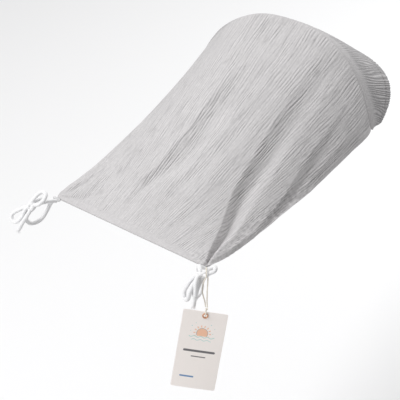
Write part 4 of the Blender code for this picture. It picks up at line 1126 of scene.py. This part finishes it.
def buildShade():
    # top = threads + (folds + pleats) across them + (crinkles, hems, stitch dip, pucker, mottle) along the
    # folded cloth's normals; the underside is one cloth below, on every second line
    look = shadeCloth
    across, along = shadeShares()
    a, b = across[:, None], along[None, :]
    smooth = smoothShade(across, along) + hemShift(a, b)
    u, v = a * look["flatWidth"] + 0 * b, b * look["flatLength"] + 0 * a
    frontGap = np.linalg.norm(smooth - smooth[:, :1], axis=-1)
    seamGap = np.linalg.norm(smooth - smooth[:, -1:], axis=-1)
    sideGap = np.minimum(np.linalg.norm(smooth - smooth[:1], axis=-1),
                         np.linalg.norm(smooth - smooth[-1:], axis=-1))
    hemStart = easeStep(frontGap, sewing["frontHem"] - 0.001, sewing["frontHem"] + 0.007)
    seamStart = easeStep(seamGap, 0.0005, 0.005)
    sideStart = easeStep(sideGap, sewing["sideHem"] - 0.003, sewing["sideHem"] + 0.004)
    # crinkles: weak on hems and seam, weaker towards the far hem, stronger on steep folds away from the corner
    strength = (0.12 + 0.88 * hemStart) * (0.3 + 0.7 * seamStart) * (0.55 + 0.45 * sideStart)
    strength = strength * (1.0 - 0.45 * easeStep(b, 0.6, 0.95) * easeStep(-a, -0.45, -0.15))
    strength = strength * (0.80 + 0.12 * easeStep(a, 0.45, 0.95) * easeStep(b, 0.3, 0.8))
    folds = foldHeights(a, b)
    steep = -np.gradient(folds, axis=0) / np.gradient(u, axis=0)
    cornerGap = np.hypot((1.0 - a) * look["cornerWide"], b * look["cornerRun"])
    fromCorner = easeStep(cornerGap, 0.06, 0.22)
    strength = strength * (1.0 + (1.45 * fromCorner - 0.55) * np.clip(steep / look["steepSlope"], 0.0, 1.0))
    # height is the crinkles' relief and crease their painted shade
    height, crease = crinkleHeights(u, v, strength)
    pleats = pleatHeights(u, v) * hemStart * (0.25 + 0.75 * seamStart)
    nearHem = easeStep(a, 0.90, 0.965) * easeStep(b, 0.03, 0.1) * (1.0 - easeStep(b, 0.5, 0.8))
    nearHem = nearHem + 0.7 * (1.0 - easeStep(cornerGap, 0.03, 0.075))
    lumps = clothNoise(u / look["mottleWide"], v / look["mottleRun"], 81)
    mottle = look["mottle"] * lumps * nearHem
    # painted shade: the mottle's dips darker and its lumps lighter
    crease = crease + look["mottleShade"] * lumps * nearHem
    hems = (look["frontHemRise"] * (1.0 - hemStart) + look["sideHemRise"] * (1.0 - sideStart)
            - look["seamSink"] * (1.0 - seamStart))
    fromStitches = frontGap - sewing["frontHem"]
    stitchDip = -look["stitchSink"] * np.exp(-(fromStitches / look["stitchWide"]) ** 2)
    pucker = look["pucker"] * clothNoise(u / look["puckerPitch"], v / 0.03, 61)
    pucker = pucker * np.exp(-(fromStitches / look["puckerReach"]) ** 2)
    folded = smooth + gridNormals(smooth) * (folds + pleats)[..., None]
    normals = gridNormals(folded)
    top = folded + normals * (height + hems + stitchDip + pucker + mottle)[..., None]
    thickness = sewing["cloth"] + sewing["hemFold"] * np.maximum(1.0 - hemStart, 1.0 - sideStart) + 0 * a
    under = (folded - normals * thickness[..., None])[::2, ::2]
    under[:, 0] = folded[::2, 0] - np.array([0.0, 0.0, sewing["cloth"] + sewing["hemFold"]])
    besideBand = np.clip(across[::2], bandForm["endShare"], 1 - bandForm["endShare"])
    slant = mitre(normals[::2, -1], bandNormalsAt(besideBand))
    under[:, -1] = folded[::2, -1] - slant * sewing["cloth"]
    rows, columns = top.shape[:2]
    lowRows, lowColumns = under.shape[:2]
    index = np.arange(rows * columns).reshape(rows, columns)
    below = rows * columns + np.arange(lowRows * lowColumns).reshape(lowRows, lowColumns)
    rim, lowRim = rimOf(index), rimOf(below)
    here = np.arange(len(lowRim))
    after = (here + 1) % len(lowRim)
    wall = np.stack([rim[(2 * here + 2) % len(rim)], rim[2 * here + 1], rim[2 * here], lowRim[here],
                     lowRim[after]], -1)
    faces = [gridFaces(rows, columns), gridFaces(lowRows, lowColumns, rows * columns)[:, ::-1], wall]
    flat = np.stack([u, v], -1)
    places = np.concatenate([flat.reshape(-1, 2), flat[::2, ::2].reshape(-1, 2)])
    # painted shade for the crease attribute, half as strong on the underside
    paintedShades = np.concatenate([crease.reshape(-1), 0.5 * crease[::2, ::2].reshape(-1)])
    points = np.concatenate([top.reshape(-1, 3), under.reshape(-1, 3)])
    corners = np.concatenate([part.reshape(-1) for part in faces])
    shade = putMesh("muslinShade", points, faces, muslin, places[corners], paintedShades, sharp=look["crispEdge"])
    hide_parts("shade_panel")
    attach(shade, "root")
    return across, along, top


shadeAcross, shadeAlong, shadeTop = buildShade()
print("shade made")


# The hood band, gathered on its elastic

# Lines of points lie at stepRows from seam to hem, closer at the elastic's row of stitches
bandCloth = {"flatWidth": 0.60, "flatLength": 0.12, "stations": 840, "bendSteps": 6, "patternWidth": 0.56,
             "stepRows": ((0.0, 0.78, 19), (0.795, 0.872, 8), (0.90, 1.0, 4)), "gather": 0.0052,
             "stripe": 0.014, "stripeEnd": 0.026, "seamDepth": 0.0007, "hemDepth": 0.0015, "fine": 0.00018,
             "pucker": 0.0011, "puckerPitch": 0.0062, "hemRow": 5 / 6, "hemRowWide": 0.020,
             "seamSink": 0.0005, "seamWide": 0.003, "crispEdge": 62.0,
             "elasticStations": 700, "elasticSides": 12, "elasticRib": 0.00004}


def elasticRelief(turn, run):
    # six shallow ribs along the cord
    return bandCloth["elasticRib"] * np.cos(6 * turn) + 0 * run


def buildBand():
    # outer face = straight cloth + gathers (0.5 + 0.5 cos(2 pi (u / pitch + noise))), deeper towards the hem;
    # then round the elastic, back to the turned-in edge, and up inside one cloth below
    look = bandCloth
    shares = np.linspace(bandForm["endShare"], 1.0 - bandForm["endShare"], look["stations"] + 1)
    steps = np.concatenate([np.linspace(*row) for row in look["stepRows"]])
    smooth = bandSurface(shares, steps)
    widths = np.linalg.norm(smooth[:, -1] - smooth[:, 0], axis=1)
    normals = gridNormals(smooth)
    s, t = shares[:, None], steps[None, :]
    u = s * look["patternWidth"] + 0 * t
    v = t * look["flatLength"] + 0 * s
    phase = u / look["gather"] + 1.1 * clothNoise(u / 0.016, v / 0.09, 71)
    phase = phase + 0.5 * clothNoise(u / 0.05, v / 0.2, 72)
    folds = 0.5 + 0.5 * np.cos(2 * math.pi * phase)
    seamGap = np.linalg.norm(smooth - smooth[:, :1], axis=-1)
    gathered = easeStep(seamGap, look["stripe"], look["stripeEnd"]) * 0.95 + 0.05
    depth = gathered * (look["seamDepth"] + (look["hemDepth"] - look["seamDepth"]) * t ** 1.5)
    patch = 0.75 + 0.5 * clothNoise(u / 0.03, v / 0.05, 73)
    narrow = easeStep(np.minimum(s, 1.0 - s), 0.012, 0.06)
    fine = look["fine"] * clothNoise(u / 0.0026, v / 0.03, 74)
    heights = (folds * patch * depth + fine * gathered) * (0.35 + 0.65 * narrow)
    heights = heights - look["seamSink"] * np.exp(-(seamGap / look["seamWide"]) ** 2)
    row = np.exp(-((t - look["hemRow"]) / look["hemRowWide"]) ** 2)
    dots = 0.5 + 0.5 * np.cos(2 * math.pi * (u / look["puckerPitch"] + 0.4 * clothNoise(u / 0.02, v / 0.02, 75)))
    heights = heights - look["pucker"] * row * (0.35 + 0.65 * dots) * narrow
    outer = smooth + normals * heights[..., None]
    inner = smooth - normals * sewing["cloth"]
    shadeNormals = gridNormals(smoothShade(shares, np.linspace(0.0, 1.0, 30)))[:, -1]
    inner[:, 0] = smooth[:, 0] - mitre(normals[:, 0], shadeNormals) * sewing["cloth"]
    edge, edgeNormal = smooth[:, -1], normals[:, -1]
    edgeAlong = unitRows(smooth[:, -1] - smooth[:, -2])
    bore = bandForm["elastic"] + bandForm["elasticClear"]
    outerBend = bore + sewing["cloth"]
    centre = edge - edgeNormal * outerBend
    turns = np.linspace(math.pi / 2, -math.pi / 2, look["bendSteps"])

    def bend(radius):
        # half a turn round the elastic
        out = np.asarray(radius).reshape(-1, 1)
        return np.stack([centre + out * (math.cos(turn) * edgeAlong + math.sin(turn) * edgeNormal)
                         for turn in turns], 1)

    turned = np.minimum(bandForm["channel"], 0.5 * widths)[:, None]
    flapBack = edge - edgeAlong * turned
    flapUnder = flapBack - edgeNormal * (2 * sewing["cloth"] + sewing["gap"])
    flapOver = flapBack - edgeNormal * (sewing["cloth"] + sewing["gap"])
    sections = np.concatenate([outer[:, :-1], bend(outerBend + heights[:, -1]), flapUnder[:, None],
                               flapOver[:, None], bend(np.full(len(shares), bore))[:, ::-1], inner[:, -2::-1]], 1)
    stations, count = sections.shape[:2]
    walls, low, high = hoopFaces(stations, count)
    faces = [walls[:, ::-1], low[:, ::-1], high[:, ::-1]]
    # painted shade: darker in the gathers' valleys and the pucker dips at the row of stitches, an even middle tone on
    # the smooth stripe
    crease = (1.5 * folds * patch - 0.7) * gathered + 0.35 * (1.0 - gathered) - 1.3 * row * dots * narrow
    rest = count - (len(steps) - 1)
    paintedShades = np.concatenate([crease[:, :-1], np.repeat(crease[:, -1:], rest, 1)], 1)
    run = runLength(sections[len(sections) // 2])
    flat = np.stack([np.broadcast_to(s * look["flatWidth"], (stations, count)),
                     np.broadcast_to(run[None, :], (stations, count))], -1)
    places = flat.reshape(-1, 2)
    corners = np.concatenate([part.reshape(-1) for part in faces])
    band = putMesh("gatheredBand", sections.reshape(-1, 3), faces, muslin, places[corners], paintedShades.reshape(-1),
                   sharp=look["crispEdge"])
    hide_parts("hood_band")
    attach(band, "root")
    path = resampled(centre, np.linspace(0.0, 1.0, look["elasticStations"]))
    cord = tubeAlong("hemElasticCord", path, bandForm["elastic"], look["elasticSides"], elasticRelief, elastic)
    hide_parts("hem_elastic")
    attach(cord, "root")
    return shares, steps, outer


bandAcross, bandSteps, bandTop = buildBand()
print("band made")


# Stitches and tacks

# Rows of stitches: seamRow and hemRow hold the first share across and the share covered, and sideRow how many
# front hems in it starts and the share of the length at which it ends
stitch = {"length": 0.0024, "pitch": 0.0031, "thickness": 0.00024, "rise": 0.00030, "sides": 6, "rings": 6,
          "lineSteps": 900, "seamRow": (0.03, 0.94), "seamStep": 0.05, "hemRow": (0.04, 0.92),
          "sideRow": (1.6, 0.985)}


def onGrid(grid, rowShares, columnShares, rows, columns):
    # a grid's point at shares of its rows and columns, blended between four neighbours
    i = np.interp(rowShares, rows, np.arange(len(rows)))
    j = np.interp(columnShares, columns, np.arange(len(columns)))
    i0 = np.clip(np.floor(i).astype(int), 0, len(rows) - 2)
    j0 = np.clip(np.floor(j).astype(int), 0, len(columns) - 2)
    fi, fj = (i - i0)[:, None], (j - j0)[:, None]
    return ((grid[i0, j0] * (1 - fi) + grid[i0 + 1, j0] * fi) * (1 - fj)
            + (grid[i0, j0 + 1] * (1 - fi) + grid[i0 + 1, j0 + 1] * fi) * fj)


def sewRow(name, node, line, normals):
    # stitches = bent capsules: z = rise (1 - 1.6 (2x / length)^2), so that their ends lie under the cloth
    run = runLength(line)
    middles = np.arange(stitch["pitch"], run[-1] - stitch["pitch"] / 2, stitch["pitch"])
    centre = resampled(line, middles / run[-1])
    normal = unitRows(np.stack([np.interp(middles, run, normals[:, axis]) for axis in range(3)], -1))
    reach = stitch["length"] / 3
    ahead = unitRows(resampled(line, (middles + reach) / run[-1]) - resampled(line, (middles - reach) / run[-1]))
    side = unitRows(np.cross(normal, ahead))
    up = np.cross(ahead, side)
    t = np.linspace(-1.0, 1.0, stitch["rings"])
    turn = np.arange(stitch["sides"]) * 2 * math.pi / stitch["sides"]
    thick = stitch["thickness"] * np.sqrt(1.0 - 0.8 * t ** 4)
    x = np.broadcast_to((t * stitch["length"] / 2)[:, None], (len(t), len(turn)))
    y = thick[:, None] * np.cos(turn)[None]
    z = stitch["rise"] * (1.0 - 1.6 * t ** 2)[:, None] + thick[:, None] * np.sin(turn)[None]
    points = (centre[:, None, None] + ahead[:, None, None] * x[None, ..., None]
              + side[:, None, None] * y[None, ..., None] + up[:, None, None] * z[None, ..., None])
    faces = manyHoops(len(centre), len(t), len(turn))
    uv = hoopUv(len(t), len(turn), 0.0015, (t + 1) * stitch["length"] / 2)
    kinds = np.split(uv, [len(uv) - 2 * len(turn), len(uv) - len(turn)])
    uv = np.concatenate([np.tile(kind, (len(centre), 1)) for kind in kinds])
    row = putMesh(name, points.reshape(-1, 3), faces, hemThread, uv)
    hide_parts(node)
    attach(row, "root")


def sewOn(name, node, cloth, first, second):
    # a row along shares of a cloth's own lines
    grid, rows, columns = cloth
    normals = unitRows(onGrid(gridNormals(grid), first, second, rows, columns))
    sewRow(name, node, onGrid(grid, first, second, rows, columns), normals)


def sewAll():
    # hem rows lie as far in from their edge as the hem is deep
    length = math.hypot(span["barBack"] + span["leftBehind"], span["barDrop"])
    hemShare = sewing["frontHem"] / length
    sideShare = sewing["sideHem"] / (2 * span["halfSpan"])
    even = np.linspace(0.0, 1.0, stitch["lineSteps"])
    still = np.ones(stitch["lineSteps"])
    start = hemShare * stitch["sideRow"][0]
    side = start + even * (stitch["sideRow"][1] - start)
    shade = (shadeTop, shadeAcross, shadeAlong)
    band = (bandTop, bandAcross, bandSteps)
    for name, node, cloth, first, second in (
            ("frontHemStitches", "front_hem_thread", shade, sideShare + even * (1 - 2 * sideShare), still * hemShare),
            ("leftHemStitches", "left_hem_thread", shade, still * sideShare, side),
            ("rightHemStitches", "right_hem_thread", shade, still * (1 - sideShare), side),
            ("bandSeamStitches", "band_seam_thread", band, stitch["seamRow"][0] + stitch["seamRow"][1] * even,
             still * stitch["seamStep"]),
            ("bandHemStitches", "band_hem_thread", band, stitch["hemRow"][0] + stitch["hemRow"][1] * even,
             still * bandCloth["hemRow"])):
        sewOn(name, node, cloth, first, second)


sewAll()
print("stitches sewn")

tackForm = {"width": 0.016, "rib": 0.00085, "ribDepth": 0.00022, "stations": 121, "sides": 28, "around": 0.018}


def sewnTack(name, node, corner):
    # superellipse section carried along x, shrunk at both ends, with a rib for each turn of thread
    stations, sides = tackForm["stations"], tackForm["sides"]
    depth, height = tieCord["tackDepth"], tieCord["tackHeight"]
    x = np.linspace(-1.0, 1.0, stations)
    turn = np.arange(sides) * 2 * math.pi / sides
    shrink = 0.25 + 0.75 * (1.0 - np.abs(x) ** 6) ** 0.3
    wave = np.cos(2 * math.pi * x * tackForm["width"] / 2 / tackForm["rib"])
    ribs = 1.0 + tackForm["ribDepth"] / depth * 2 * wave
    y = depth / 2 * np.sign(np.cos(turn)) * np.abs(np.cos(turn)) ** 0.6
    z = height / 2 * np.sign(np.sin(turn)) * np.abs(np.sin(turn)) ** 0.6
    size = (shrink * ribs)[:, None]
    line = np.broadcast_to((x * tackForm["width"] / 2)[:, None], (stations, sides))
    points = np.stack([line, y[None] * size, z[None] * size], -1)
    faces = hoopFaces(stations, sides)
    uv = hoopUv(stations, sides, tackForm["around"], (x + 1) * tackForm["width"] / 2)
    piece = putMesh(name, tackMiddle(corner) + points.reshape(-1, 3), faces, tackThread, uv)
    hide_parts(node)
    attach(piece, "root")


sewnTack("leftSewnTack", "left_tie_tack", leftCorner)
sewnTack("rightSewnTack", "right_tie_tack", rightCorner)
print("tacks sewn")


# Floor, world and lights

studio = {"floorDrop": -1.10, "floorHalf": 6.0, "floorColour": (0.84, 0.84, 0.845), "floorGlow": 0.03, "world": 0.47}
lamps = {"keyLight": {"place": (-1.2, -1.75, 2.4), "aim": (0.0, -0.3, -0.1), "size": 1.0, "power": 62.0},
         "backLight": {"place": (0.25, 2.8, 1.4), "aim": (0.0, -0.1, -0.1), "size": 1.6, "power": 66.0},
         "fillLight": {"place": (-0.6, -2.9, 0.4), "aim": (0.1, -0.5, -0.2), "size": 1.4, "power": 17.0}}


def buildFloor():
    # one square far below the shade
    material, tree, shader = newMaterial("paleFloor", 0.9)
    shader.inputs["Base Color"].default_value = (*studio["floorColour"], 1.0)
    shader.inputs["Emission Color"].default_value = (1.0, 1.0, 1.0, 1.0)
    shader.inputs["Emission Strength"].default_value = studio["floorGlow"]
    corners = np.array([(-1.0, -1.0), (1.0, -1.0), (1.0, 1.0), (-1.0, 1.0)]) * studio["floorHalf"]
    points = np.column_stack([corners, np.full(4, studio["floorDrop"])])
    floor = putMesh("studioFloor", points, [np.array([[0, 1, 2, 3]])], material)


def addLight(name, place, aim, size, power):
    # a round lamp turned from its place to its aim
    data = bpy.data.lights.new(name, "AREA")
    data.shape = "DISK"
    data.size = size
    data.energy = power
    lamp = bpy.data.objects.new(name, data)
    lamp.location = place
    heading = np.array(aim) - np.array(place)
    lamp.rotation_euler = (math.atan2(math.hypot(heading[0], heading[1]), -heading[2]), 0.0,
                           math.atan2(heading[1], heading[0]) - math.pi / 2)
    bpy.context.scene.collection.objects.link(lamp)


def lightStudio():
    # an even white sky and the lamps
    world = bpy.data.worlds.new("studioWorld")
    bpy.context.scene.world = world
    world.use_nodes = True
    world.node_tree.nodes["Background"].inputs["Color"].default_value = (1.0, 1.0, 1.0, 1.0)
    world.node_tree.nodes["Background"].inputs["Strength"].default_value = studio["world"]
    for name, lamp in lamps.items():
        addLight(name, **lamp)
    bpy.context.scene.view_settings.view_transform = "Standard"


buildFloor()
lightStudio()
print("studio lit")
